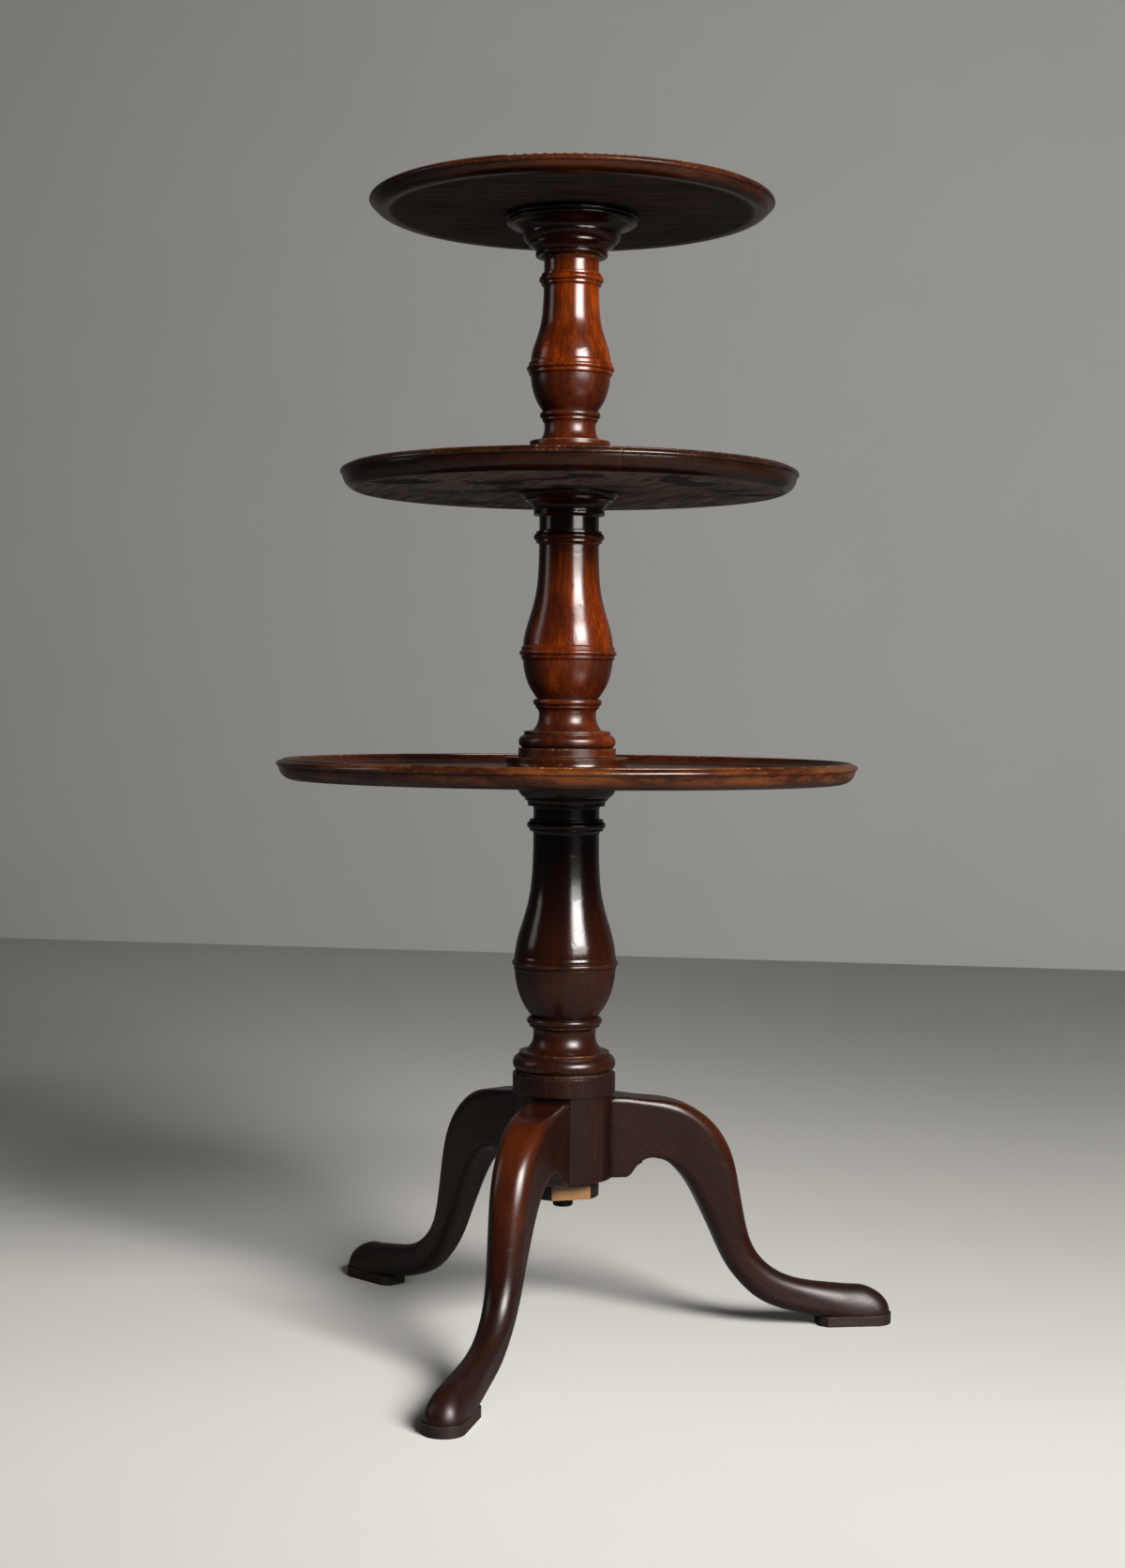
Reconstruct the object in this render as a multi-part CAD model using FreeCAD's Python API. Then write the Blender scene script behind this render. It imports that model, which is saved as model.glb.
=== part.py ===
"""Three-tier dumb waiter: revolving dished trays on a turned pillar with a tripod base.

Millimetres, +Z up.  The origin is on the floor, on the axis of the pillar.
Every separate piece of wood or iron is written as its own STEP file.
"""
import FreeCAD, Part
import math
import os

V = FreeCAD.Vector
UP = V(0, 0, 1)
AXIS = V(0, 0, 0)

# ---------------------------------------------------------------- driving sizes
# Clearances
RUNNING_GAP = 0.3        # between faces that turn against each other
JOURNAL_CLEARANCE = 0.1  # radial, tray bore over its journal
TENON_CLEARANCE = 0.05   # radial, round tenon in its socket
DOVETAIL_CLEARANCE = 0.1
END_ROOM = 1.0           # left at the end of a tenon, a spigot or a screw
ARRIS = 0.8              # small bevel that takes the sharpness off a corner

# Feet
FOOT_BLOCK_THICKNESS = 11.0
FOOT_BLOCK_RADIUS = 21.0       # rounded toe of the block
FOOT_BLOCK_LENGTH = 62.0       # from the centre of the toe to the straight back edge
FOOT_BLOCK_CORNER = 7.0        # bevelled back corners
FOOT_BLOCK_TAPER = 4.5         # the block narrows this much towards its back, each side
FOOT_CENTRE = 346.7            # centre of the rounded toe, from the pillar's axis
FOOT_RADIUS = 19.3             # rounded toe of the pad foot, in plan
FOOT_HEIGHT = 31.5             # crown of the pad foot, above its block
FOOT_FALL = 45.0               # from the crown of the pad foot to the tip of its toe
LEG_ANGLES = {"leg_front": -90.0, "leg_right": 30.0, "leg_left": 150.0}

# Drum and the roots of the legs
DRUM_BOTTOM = 172.0
DRUM_HEIGHT = 90.5
DRUM_RADIUS = 52.0
DRUM_BORE_RADIUS = 17.0
COLLAR_HEIGHT = 20.5
COLLAR_PROUD = 2.4
LEG_WIDTH = 46.0
DOVETAIL_NECK = 15.0
DOVETAIL_TAIL = 24.0
DOVETAIL_DEPTH = 13.0
DOVETAIL_STOP = 12.5           # the socket ends this far under the collar

# Retaining disc and its screw under the drum
DISC_RADIUS = 38.0
DISC_THICKNESS = 19.7
DISC_FLAT_OFFSET = 31.7        # planed flat, from the axis
DISC_FLAT_ANGLE = -56.0
SCREW_HEAD_RADIUS = 10.7
SCREW_HEAD_HEIGHT = 11.8
SCREW_HEAD_ROUND = 2.4
SCREW_SHANK_RADIUS = 4.0
SCREW_LENGTH = 62.0
SCREW_POINT = 6.0
SCREW_TIP_RADIUS = 2.5
SCREW_SLOT_WIDTH = 2.2
SCREW_SLOT_DEPTH = 3.2
SCREW_SLOT_ANGLE = 25.0

# Trays: radius of the edge, height of the rim and thickness of the board, from the underside,
# width of the thumb moulding under the edge, and radius of the boss that the pillar stands on
BOTTOM_TRAY = {"radius": 305.0, "rim": 21.5, "board": 12.0, "thumb": 14.5, "boss": 64.8}
MIDDLE_TRAY = {"radius": 240.5, "rim": 23.5, "board": 13.5, "thumb": 14.5, "boss": 58.5}
TOP_TRAY = {"radius": 212.0, "rim": 16.0, "board": 9.0, "thumb": 20.0}
BOSS_HEIGHT = 12.6             # above the dish
BOSS_COVE = 6.2
BOARD_JOINT_OFFSET = 30.0      # glued joint of the middle tray, from the axis
BOARD_JOINT_ANGLE = 217.4

# Rim moulding, the same on all three trays
RIM_CREST_INSET = 7.6
RIM_CREST_RADIUS = 1.3
RIM_QUIRK_DEPTH = 1.9          # sunk line between the crest and the bead
RIM_BEAD_WIDTH = 4.8
RIM_BEAD_HEIGHT = 5.6          # widest line of the bead, under the crest
RIM_BEAD_UNDER = 1.9
RIM_THUMB_INSET = 2.3
RIM_COVE_WIDTH = 14.0

# Round tenons that join the pillar
JOURNAL_RADIUS = 20.0
TENON_RADIUS = 14.0
TENON_LENGTH = 46.0
SPIGOT_RADIUS = 13.0

# Turned flange that carries the top tray, from its top down
BEARER_RADIUS = 68.7
BEARER_LIP = 2.5
BEARER_REED = 4.2              # height of each of the two reeds round the rim
BEARER_REED_PROUD = 2.0
BEARER_UNDERCUT = 1.6
BEARER_CAVETTO = 8.8
BEARER_BAND_RADIUS = 51.7
BEARER_BAND = 9.8
BEARER_BAND_FALL = 5.8         # the band rounds in by this much
BEARER_STEP = 2.2
BEARER_HOLLOW = 7.1
BEARER_RING_RADIUS = 37.1
BEARER_RING = 4.6

# Mouldings that all three lengths of the pillar share
ASTRAGAL_HEIGHT = 7.0
ASTRAGAL_PROUD = 2.6
ASTRAGAL_FILLET = 2.4          # height of the fillet on each side of it
ASTRAGAL_HOLLOW = 3.4          # height of the hollow under it
BELT_BEAD_HEIGHT = 5.2
BELT_FILLET = 3.2
BELT_PROUD = 2.1
BELT_SLOPE = 2.0
TORUS_PROUD = 4.4
FLANGE_FILLET = 2.6
FLANGE_RING = 1.8
FLANGE_HOLLOW = 2.4
NECK_FLARE = 3.2
NECK_FLARE_HEIGHT = 6.0

# Lengths of the pillar: radii of the turned outline, heights above the foot of each
UPPER = {
    "length": 218.1, "plinth": 47.3, "plinth_height": 9.1,
    "torus": 47.0, "torus_height": 12.4, "fillet": 42.2, "fillet_height": 4.6,
    "scotia_foot": 32.0, "scotia": 26.9, "scotia_level": 42.2,
    "lower_astragal": 31.9, "lower_astragal_level": 53.8,
    "bulb_foot": 28.3, "bulb": 41.8, "belt": 46.1, "belt_level": 102.0,
    "shoulder": 42.0, "shaft": 29.1, "shaft_level": 183.0,
    "astragal": 33.9, "astragal_level": 194.8, "neck": 28.8,
}
MIDDLE = {
    "length": 277.7, "plinth": 51.5, "plinth_height": 9.1,
    "torus": 51.2, "torus_height": 13.4, "fillet": 45.6, "fillet_height": 4.4,
    "scotia_foot": 36.6, "scotia": 30.1, "scotia_level": 45.0,
    "lower_astragal": 36.3, "lower_astragal_level": 57.4,
    "bulb_foot": 31.9, "bulb": 47.4, "belt": 51.4, "belt_level": 109.0,
    "shoulder": 47.4, "shaft": 31.5, "shaft_level": 214.4,
    "astragal": 37.3, "astragal_level": 230.6, "neck": 31.4,
    "flange": 51.0, "flange_foot": 48.0, "flange_height": 6.4, "flange_step": 46.6,
    "flange_ring": 37.4, "flange_depth": 24.0,
}
LOWER = {
    "length": 308.7, "plinth": 50.5, "plinth_height": 2.5,
    "torus": 54.4, "torus_height": 15.6, "fillet": 47.7, "fillet_height": 4.4,
    "scotia_foot": 41.4, "scotia": 32.7, "scotia_level": 41.5,
    "lower_astragal": 39.9, "lower_astragal_level": 55.0,
    "bulb_foot": 34.3, "bulb": 53.5, "belt": 56.3, "belt_level": 116.2,
    "shoulder": 53.4, "shaft": 34.9, "shaft_level": 236.6,
    "astragal": 41.7, "astragal_level": 262.0, "neck": 34.9,
    "flange": 52.6, "flange_foot": 45.6, "flange_height": 17.6, "flange_step": 44.2,
    "flange_ring": 41.0, "flange_depth": 26.4,
}

# ---------------------------------------------------------------- levels above the floor
COLLAR_BOTTOM = DRUM_BOTTOM + DRUM_HEIGHT
COLLAR_TOP = COLLAR_BOTTOM + COLLAR_HEIGHT
BOTTOM_TRAY_LEVEL = COLLAR_TOP + LOWER["length"] + RUNNING_GAP
BOTTOM_BOSS_TOP = BOTTOM_TRAY_LEVEL + BOTTOM_TRAY["board"] + BOSS_HEIGHT
MIDDLE_FOOT = BOTTOM_BOSS_TOP + RUNNING_GAP
MIDDLE_TRAY_LEVEL = MIDDLE_FOOT + MIDDLE["length"] + RUNNING_GAP
MIDDLE_BOSS_TOP = MIDDLE_TRAY_LEVEL + MIDDLE_TRAY["board"] + BOSS_HEIGHT
UPPER_FOOT = MIDDLE_BOSS_TOP + RUNNING_GAP
BEARER_BOTTOM = UPPER_FOOT + UPPER["length"] + RUNNING_GAP
BEARER_RIM = BEARER_LIP + 2 * BEARER_REED + BEARER_UNDERCUT
TOP_TRAY_LEVEL = (BEARER_BOTTOM + BEARER_RING + BEARER_HOLLOW + BEARER_STEP
                  + BEARER_BAND + BEARER_CAVETTO + BEARER_RIM)
DRUM_FLAT = math.sqrt(DRUM_RADIUS ** 2 - (LEG_WIDTH / 2) ** 2)
DISC_BOTTOM = DRUM_BOTTOM - DISC_THICKNESS
SCREW_TIP = DISC_BOTTOM + SCREW_LENGTH


# ---------------------------------------------------------------- turning
QUARTER = 0.207          # depth of a quarter round, as a share of its chord


class Turning:
    """The outline of a turned piece, followed point by point in radius and height."""

    def __init__(self, radius, height):
        self.first = V(radius, 0, height)
        self.last = self.first
        self.edges = []

    def _add(self, edge, end):
        self.edges.append(edge)
        self.last = end
        return self

    def to(self, radius, height):
        """A straight cut to a point."""
        end = V(radius, 0, height)
        if end.distanceToPoint(self.last) < 1e-6:
            return self
        return self._add(Part.LineSegment(self.last, end).toShape(), end)

    def across(self, radius):
        return self.to(radius, self.last.z)

    def down(self, drop):
        return self.to(self.last.x, self.last.z - drop)

    def hollow(self, radius, height, fullness=QUARTER):
        """A hollow arc to a point; fullness is its depth as a share of its chord."""
        end = V(radius, 0, height)
        chord = end - self.last
        into_wood = V(chord.z, 0, -chord.x)
        middle = (self.last + end) * 0.5 + into_wood * fullness
        return self._add(Part.Arc(self.last, middle, end).toShape(), end)

    def ovolo(self, radius, height, fullness=QUARTER):
        """A round arc to a point."""
        return self.hollow(radius, height, -fullness)

    def bead(self, proud, drop):
        """A round that stands out between two equal radii."""
        return self.ovolo(self.last.x, self.last.z - drop, proud / drop)

    def curve(self, points):
        """A smooth curve through points."""
        ends = [self.last] + [V(r, 0, z) for r, z in points]
        spline = Part.BSplineCurve()
        spline.interpolate(ends)
        return self._add(spline.toShape(), ends[-1])

    def solid(self):
        """Close the outline to the axis and turn it."""
        self.to(0, self.last.z).to(0, self.first.z)
        return self.ring()

    def ring(self):
        """Close the outline to where it began and turn it."""
        self.to(self.first.x, self.first.z)
        face = Part.Face(Part.Wire(self.edges))
        solid = face.revolve(AXIS, UP, 360)
        return solid if solid.Volume > 0 else solid.reversed()


def cylinder(radius, bottom, top):
    return Part.makeCylinder(radius, top - bottom, V(0, 0, bottom))


def graded(low, high, share):
    return low + (high - low) * share


def turned_about_axis(shape, angle):
    shape.rotate(AXIS, UP, angle)
    return shape


# ---------------------------------------------------------------- pillar
# Share of the way along a curve, and share of its swell there
VASE_CURVE = ((0.16, 0.85), (0.375, 0.46), (0.60, 0.15), (0.77, 0.05))
BULB_CURVE = ((0.22, 0.93), (0.45, 0.79), (0.65, 0.59), (0.82, 0.34))


def turned_flange(outline, size):
    """The moulded top that a tray rests on, from its upper face down to the neck."""
    top = outline.last.z
    outline.ovolo(size["flange_foot"], top - size["flange_height"], 0.15)
    outline.across(size["flange_step"]).down(FLANGE_FILLET)
    ring_bottom = top - size["flange_depth"]
    outline.hollow(size["flange_ring"], ring_bottom + FLANGE_RING).down(FLANGE_RING)
    outline.hollow(size["neck"], ring_bottom - FLANGE_HOLLOW)


def astragal(outline, radius, level, foot_radius):
    """Fillet, bead and fillet, centred on a level, and a hollow to a smaller radius below."""
    outline.to(radius - ASTRAGAL_PROUD, level + ASTRAGAL_HEIGHT / 2 + ASTRAGAL_FILLET)
    outline.down(ASTRAGAL_FILLET)
    outline.bead(ASTRAGAL_PROUD, ASTRAGAL_HEIGHT)
    outline.down(ASTRAGAL_FILLET)
    outline.hollow(foot_radius, outline.last.z - ASTRAGAL_HOLLOW)


def belt(outline, radius, level):
    """The raised belt round the widest part: fillet, bead and fillet."""
    outline.to(radius - BELT_PROUD, level + BELT_BEAD_HEIGHT / 2 + BELT_FILLET)
    outline.down(BELT_FILLET)
    outline.bead(BELT_PROUD, BELT_BEAD_HEIGHT)
    outline.down(BELT_FILLET)


def turned_length(size, foot):
    """One length of the pillar, from the top of its neck down to its plinth."""
    def level(name):
        return foot + size[name]

    top = level("length")
    if "flange" in size:
        outline = Turning(size["flange"], top)
        turned_flange(outline, size)
    else:
        outline = Turning(size["neck"] + NECK_FLARE, top)
        outline.hollow(size["neck"], top - NECK_FLARE_HEIGHT, 0.14)
    neck_foot = level("astragal_level") + ASTRAGAL_HEIGHT / 2 + ASTRAGAL_FILLET + ARRIS
    outline.to(size["neck"], neck_foot)
    astragal(outline, size["astragal"], level("astragal_level"), size["shaft"])

    # shaft: slender above, swelling to a shoulder over the belt
    shoulder = level("belt_level") + BELT_BEAD_HEIGHT / 2 + BELT_FILLET + BELT_SLOPE
    rise = level("shaft_level") - shoulder
    swell = size["shoulder"] - size["shaft"]
    points = [(size["shaft"], level("shaft_level"))]
    points += [(size["shaft"] + swell * out, shoulder + rise * along)
               for along, out in reversed(VASE_CURVE)]
    outline.curve(points + [(size["shoulder"], shoulder)])
    belt(outline, size["belt"], level("belt_level"))

    # bulb under the belt
    outline.to(size["bulb"], outline.last.z - BELT_SLOPE)
    bulb_top = outline.last.z
    lower_top = level("lower_astragal_level") + ASTRAGAL_HEIGHT / 2
    drop = bulb_top - lower_top
    bulge = size["bulb"] - size["bulb_foot"]
    points = [(size["bulb_foot"] + bulge * out, bulb_top - drop * along) for along, out in BULB_CURVE]
    outline.curve(points + [(size["bulb_foot"], lower_top)])

    # lower astragal and scotia
    outline.across(size["lower_astragal"] - ASTRAGAL_PROUD)
    outline.bead(ASTRAGAL_PROUD, ASTRAGAL_HEIGHT)
    outline.down(ASTRAGAL_FILLET)
    fillet_top = foot + size["plinth_height"] + size["torus_height"] + size["fillet_height"]
    outline.curve([(graded(size["scotia"], outline.last.x, 0.2),
                    graded(level("scotia_level"), outline.last.z, 0.6)),
                   (size["scotia"], level("scotia_level")),
                   (graded(size["scotia"], size["scotia_foot"], 0.28),
                    graded(fillet_top, level("scotia_level"), 0.42)),
                   (size["scotia_foot"], fillet_top + ARRIS)])

    # fillet, torus and plinth
    outline.to(size["fillet"], fillet_top).down(size["fillet_height"])
    outline.across(size["torus"] - TORUS_PROUD).bead(TORUS_PROUD, size["torus_height"])
    outline.across(size["plinth"] - ARRIS / 2).to(size["plinth"], outline.last.z - ARRIS / 2)
    outline.to(size["plinth"], foot)
    return outline.solid()


def pillar_joint(seat, boss_top):
    """On top of a length: the journal that a tray turns on, and the round tenon above it."""
    shoulder = boss_top + RUNNING_GAP
    journal = cylinder(JOURNAL_RADIUS, seat, shoulder)
    return journal.fuse(cylinder(TENON_RADIUS, shoulder, shoulder + TENON_LENGTH))


def tenon_socket(foot):
    """Hole in the foot of a length for the tenon of the length below it."""
    return cylinder(TENON_RADIUS + TENON_CLEARANCE, foot, foot + TENON_LENGTH + END_ROOM)


def screw_hole(bottom, top):
    return cylinder(SCREW_SHANK_RADIUS + TENON_CLEARANCE, bottom, top)


def make_lower_column():
    column = turned_length(LOWER, COLLAR_TOP)
    spigot = cylinder(DRUM_BORE_RADIUS - TENON_CLEARANCE, DRUM_BOTTOM + END_ROOM, COLLAR_TOP)
    column = column.fuse(spigot)
    column = column.fuse(pillar_joint(COLLAR_TOP + LOWER["length"], BOTTOM_BOSS_TOP))
    return column.cut(screw_hole(DRUM_BOTTOM, SCREW_TIP + END_ROOM))


def make_middle_column():
    column = turned_length(MIDDLE, MIDDLE_FOOT).cut(tenon_socket(MIDDLE_FOOT))
    return column.fuse(pillar_joint(MIDDLE_FOOT + MIDDLE["length"], MIDDLE_BOSS_TOP))


def make_upper_column():
    column = turned_length(UPPER, UPPER_FOOT).cut(tenon_socket(UPPER_FOOT))
    spigot = cylinder(SPIGOT_RADIUS, UPPER_FOOT + UPPER["length"], TOP_TRAY_LEVEL - END_ROOM)
    return column.fuse(spigot)


# ---------------------------------------------------------------- trays
def rim_outline(outline, size, underside):
    """From the dish over the moulded rim to the flat underside."""
    radius = size["radius"]
    crest = underside + size["rim"]
    crest_radius = radius - RIM_CREST_INSET
    crest_side = crest - RIM_CREST_RADIUS
    outline.across(crest_radius - RIM_CREST_RADIUS - RIM_COVE_WIDTH)
    outline.hollow(crest_radius - RIM_CREST_RADIUS, crest_side, 0.12)
    outline.ovolo(crest_radius + RIM_CREST_RADIUS, crest_side, 0.5)
    outline.to(radius - RIM_BEAD_WIDTH, crest - RIM_QUIRK_DEPTH)
    outline.ovolo(radius, crest - RIM_BEAD_HEIGHT)
    outline.ovolo(radius - 0.7 * RIM_THUMB_INSET, crest - RIM_BEAD_HEIGHT - RIM_BEAD_UNDER, 0.14)
    outline.across(radius - RIM_THUMB_INSET)
    outline.ovolo(radius - size["thumb"], underside, 0.17)


def make_tray(size, underside):
    """A dished tray; with a boss it is bored for the journal, without one it is plain."""
    dish = underside + size["board"]
    if "boss" not in size:
        outline = Turning(ARRIS, dish)
        rim_outline(outline, size, underside)
        return outline.solid()
    bore = JOURNAL_RADIUS + JOURNAL_CLEARANCE
    boss_top = dish + BOSS_HEIGHT
    boss = size["boss"]
    outline = Turning(bore, boss_top).across(boss - ARRIS).to(boss, boss_top - ARRIS)
    outline.to(boss, dish + BOSS_COVE).hollow(boss + BOSS_COVE, dish)
    rim_outline(outline, size, underside)
    outline.across(bore)
    return outline.ring()


def block_beyond(angle, offset, size):
    """A block that holds everything beyond an upright plane."""
    block = Part.makeBox(size, 2 * size, 2 * size, V(offset, -size, -size))
    return turned_about_axis(block, angle)


def make_middle_tray_boards():
    """The middle tray is two boards, glued edge to edge."""
    tray = make_tray(MIDDLE_TRAY, MIDDLE_TRAY_LEVEL)
    beyond = block_beyond(BOARD_JOINT_ANGLE, BOARD_JOINT_OFFSET, 2 * MIDDLE_TRAY_LEVEL)
    return tray.cut(beyond), tray.common(beyond)


def make_top_bearer():
    """The broad turned flange under the top tray, bored for the pillar's spigot."""
    outline = Turning(BEARER_RADIUS - BEARER_REED_PROUD - ARRIS, TOP_TRAY_LEVEL)
    outline.to(BEARER_RADIUS - BEARER_REED_PROUD, TOP_TRAY_LEVEL - BEARER_LIP)
    outline.bead(BEARER_REED_PROUD, BEARER_REED).bead(BEARER_REED_PROUD, BEARER_REED)
    outline.to(outline.last.x - BEARER_UNDERCUT, outline.last.z - BEARER_UNDERCUT)
    outline.hollow(BEARER_BAND_RADIUS, outline.last.z - BEARER_CAVETTO, 0.16)
    outline.ovolo(BEARER_BAND_RADIUS - BEARER_BAND_FALL, outline.last.z - BEARER_BAND, 0.12)
    outline.across(outline.last.x - ARRIS).down(BEARER_STEP)
    outline.hollow(BEARER_RING_RADIUS, BEARER_BOTTOM + BEARER_RING, 0.15)
    outline.ovolo(BEARER_RING_RADIUS - ARRIS, BEARER_BOTTOM, 0.3)
    bearer = outline.solid()
    return bearer.cut(cylinder(SPIGOT_RADIUS + JOURNAL_CLEARANCE, BEARER_BOTTOM, TOP_TRAY_LEVEL))


# ---------------------------------------------------------------- drum
def plan_prism(points, bottom, top):
    wire = Part.makePolygon([V(x, y, bottom) for x, y in points + [points[0]]])
    return Part.Face(wire).extrude(V(0, 0, top - bottom))


def dovetail(loose):
    """The dovetail between a leg and the drum, along +X; loose widens it for the socket."""
    half_neck = DOVETAIL_NECK / 2 + loose
    half_tail = DOVETAIL_TAIL / 2 + loose
    inner = DRUM_FLAT - DOVETAIL_DEPTH - loose
    outer = DRUM_FLAT + END_ROOM
    return plan_prism([(outer, -half_neck), (outer, half_neck), (DRUM_FLAT, half_neck),
                       (inner, half_tail), (inner, -half_tail), (DRUM_FLAT, -half_neck)],
                      DRUM_BOTTOM, COLLAR_BOTTOM - DOVETAIL_STOP + loose)


def make_tripod_drum():
    """Turned drum with a collar, a flat and a dovetail socket for each leg, and a bore."""
    collar_radius = DRUM_RADIUS + COLLAR_PROUD
    outline = Turning(collar_radius - ARRIS, COLLAR_TOP)
    outline.to(collar_radius, COLLAR_TOP - ARRIS).to(collar_radius, COLLAR_BOTTOM + ARRIS)
    outline.to(collar_radius - ARRIS, COLLAR_BOTTOM).across(DRUM_RADIUS)
    outline.to(DRUM_RADIUS, DRUM_BOTTOM + ARRIS).to(DRUM_RADIUS - ARRIS, DRUM_BOTTOM)
    drum = outline.solid().cut(cylinder(DRUM_BORE_RADIUS, DRUM_BOTTOM, COLLAR_TOP))
    for angle in LEG_ANGLES.values():
        flat = Part.makeBox(DRUM_RADIUS, 2 * DRUM_RADIUS, DRUM_HEIGHT,
                            V(DRUM_FLAT, -DRUM_RADIUS, DRUM_BOTTOM))
        drum = drum.cut(turned_about_axis(flat.fuse(dovetail(DOVETAIL_CLEARANCE)), angle))
    return drum


# ---------------------------------------------------------------- legs
# Cross-sections of the leg, from the drum to the foot.  Each one is a rounded oblong that
# stands on the line from a point of the inner curve to a point of the outer curve.
# Outer point and inner point, in percent of the leg's reach and of its rise; then, in
# percent of LEG_WIDTH, the section's width, how far its outer corners are rounded, across
# and along, and how far its inner corners are.
LEG_SECTIONS = (
    (0.0, 98.0, 0.0, 61.0, 100.0, 8.0, 8.0, 8.0),
    (9.1, 97.4, 7.5, 62.5, 100.0, 10.0, 10.0, 8.0),
    (18.7, 96.2, 15.7, 71.2, 99.0, 15.0, 15.0, 11.0),
    (29.3, 93.1, 21.7, 69.4, 97.0, 25.0, 25.0, 17.0),
    (37.8, 86.3, 26.3, 64.6, 93.0, 33.0, 33.0, 21.0),
    (44.2, 75.9, 30.6, 57.7, 89.0, 36.0, 38.0, 23.0),
    (47.7, 63.5, 34.3, 49.4, 84.0, 36.0, 39.0, 24.0),
    (49.8, 50.8, 37.7, 41.0, 80.0, 35.0, 38.0, 24.0),
    (51.9, 39.3, 41.0, 32.3, 76.0, 34.0, 37.0, 24.0),
    (55.3, 29.5, 45.0, 23.1, 71.0, 32.0, 35.0, 24.0),
    (61.2, 22.0, 49.9, 15.5, 66.0, 30.0, 34.0, 24.0),
    (68.5, 17.3, 56.2, 8.7, 63.0, 29.0, 34.0, 25.0),
    (77.4, 14.7, 65.5, 3.6, 65.0, 30.0, 38.0, 27.0),
    (86.7, 13.2, 76.8, 0.0, 75.0, 35.0, 50.0, 30.0),
    (93.7, 12.4, 88.4, -2.4, 82.0, 39.0, 62.0, 34.0),
)
SECTION_LAND = 1.2             # least straight run left between two rounded corners
OUTER_SHARE = 0.85             # most of a section's length that its outer corners take
FOOT_SUNK = 9.0                # the foot's sections reach this far below the top of the block
TOE_TURNS = (0.0, 25.0, 45.0, 60.0, 72.0, 81.0)   # degrees round the toe, for its sections
ELLIPSE_HANDLE = 0.5523        # length of a Bezier handle that draws a quarter of an ellipse
# Bracket under the root of the leg, in percent of DRUM_HEIGHT: distance from the drum's
# flat, height above its bottom
BRACKET_OGEE = ((18.2, 1.1), (24.9, 5.0), (29.8, 11.6), (37.6, 17.1))
BRACKET_ARCH = ((38.1, 19.3), (47.0, 22.7), (60.0, 20.0))
BRACKET_WASTE = 60.0           # what is sawn away reaches this far below the drum


def straight(p, q):
    return Part.LineSegment(p, q).toShape()


def through(points):
    curve = Part.BSplineCurve()
    curve.interpolate(points)
    return curve.toShape()


def quarter(p, corner, q):
    """A quarter of an ellipse between two points, inside their corner."""
    curve = Part.BezierCurve()
    curve.setPoles([p, p + (corner - p) * ELLIPSE_HANDLE, q + (corner - q) * ELLIPSE_HANDLE, q])
    return curve.toShape()


def section_wire(outer, inner, width, outer_across, outer_along, inner_round):
    """A closed oblong with rounded corners, in the plane of the line inner-outer and Y."""
    way = outer - inner
    height = way.Length
    way.normalize()
    half = width / 2
    across = min(outer_across, half - SECTION_LAND)
    along = min(outer_along, OUTER_SHARE * height)
    under = min(inner_round, half - SECTION_LAND, height - along - SECTION_LAND)

    def at(side, up):
        return inner + way * up + V(0, side, 0)

    corners = ((at(under - half, 0), at(-half, 0), at(-half, under)),
               (at(-half, height - along), at(-half, height), at(across - half, height)),
               (at(half - across, height), at(half, height), at(half, height - along)),
               (at(half, under), at(half, 0), at(half - under, 0)))
    edges = []
    for now, after in zip(corners, corners[1:] + corners[:1]):
        edges += [quarter(*now), straight(now[2], after[0])]
    return Part.Wire(edges)


def leg_section_wires():
    """The wires that the leg is lofted through, from the drum to the start of the toe."""
    reach = (FOOT_CENTRE - DRUM_FLAT) / 100
    rise = (COLLAR_BOTTOM - FOOT_BLOCK_THICKNESS) / 100
    wires = []
    for outer_out, outer_up, inner_out, inner_up, *widths in LEG_SECTIONS:
        outer = V(DRUM_FLAT + reach * outer_out, 0, FOOT_BLOCK_THICKNESS + rise * outer_up)
        inner = V(DRUM_FLAT + reach * inner_out, 0, FOOT_BLOCK_THICKNESS + rise * inner_up)
        wires.append(section_wire(outer, inner, *[LEG_WIDTH * share / 100 for share in widths]))
    return wires


def toe_section_wires():
    """Upright sections of the pad foot's toe: round in plan, and falling as an ellipse."""
    tip = FOOT_CENTRE + FOOT_RADIUS
    wires = []
    for turn in TOE_TURNS:
        out = FOOT_CENTRE + FOOT_RADIUS * math.sin(math.radians(turn))
        half = FOOT_RADIUS * math.cos(math.radians(turn))
        height = FOOT_HEIGHT * math.sqrt(1 - (1 - (tip - out) / FOOT_FALL) ** 2)
        ridge = V(out, 0, FOOT_BLOCK_THICKNESS + height)
        sole = V(out, 0, FOOT_BLOCK_THICKNESS - FOOT_SUNK)
        wires.append(section_wire(ridge, sole, 2 * half, half, height, FOOT_SUNK))
    return wires


def bracket_waste():
    """What is sawn away under the root: a flat, a small ogee and the spring of the arch."""
    ogee, arch = ([V(DRUM_FLAT + DRUM_HEIGHT * out / 100, 0, DRUM_BOTTOM + DRUM_HEIGHT * up / 100)
                   for out, up in curve] for curve in (BRACKET_OGEE, BRACKET_ARCH))
    below = DRUM_BOTTOM - BRACKET_WASTE
    inside = DRUM_FLAT - DOVETAIL_DEPTH
    corners = [arch[-1], V(arch[-1].x, 0, below), V(inside, 0, below),
               V(inside, 0, ogee[0].z), ogee[0]]
    edges = [through(ogee), straight(ogee[-1], arch[0]), Part.Arc(*arch).toShape()]
    edges += [straight(a, b) for a, b in zip(corners, corners[1:])]
    waste = Part.Face(Part.Wire(edges)).extrude(V(0, 2 * LEG_WIDTH, 0))
    waste.translate(V(0, -LEG_WIDTH, 0))
    return waste


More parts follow.
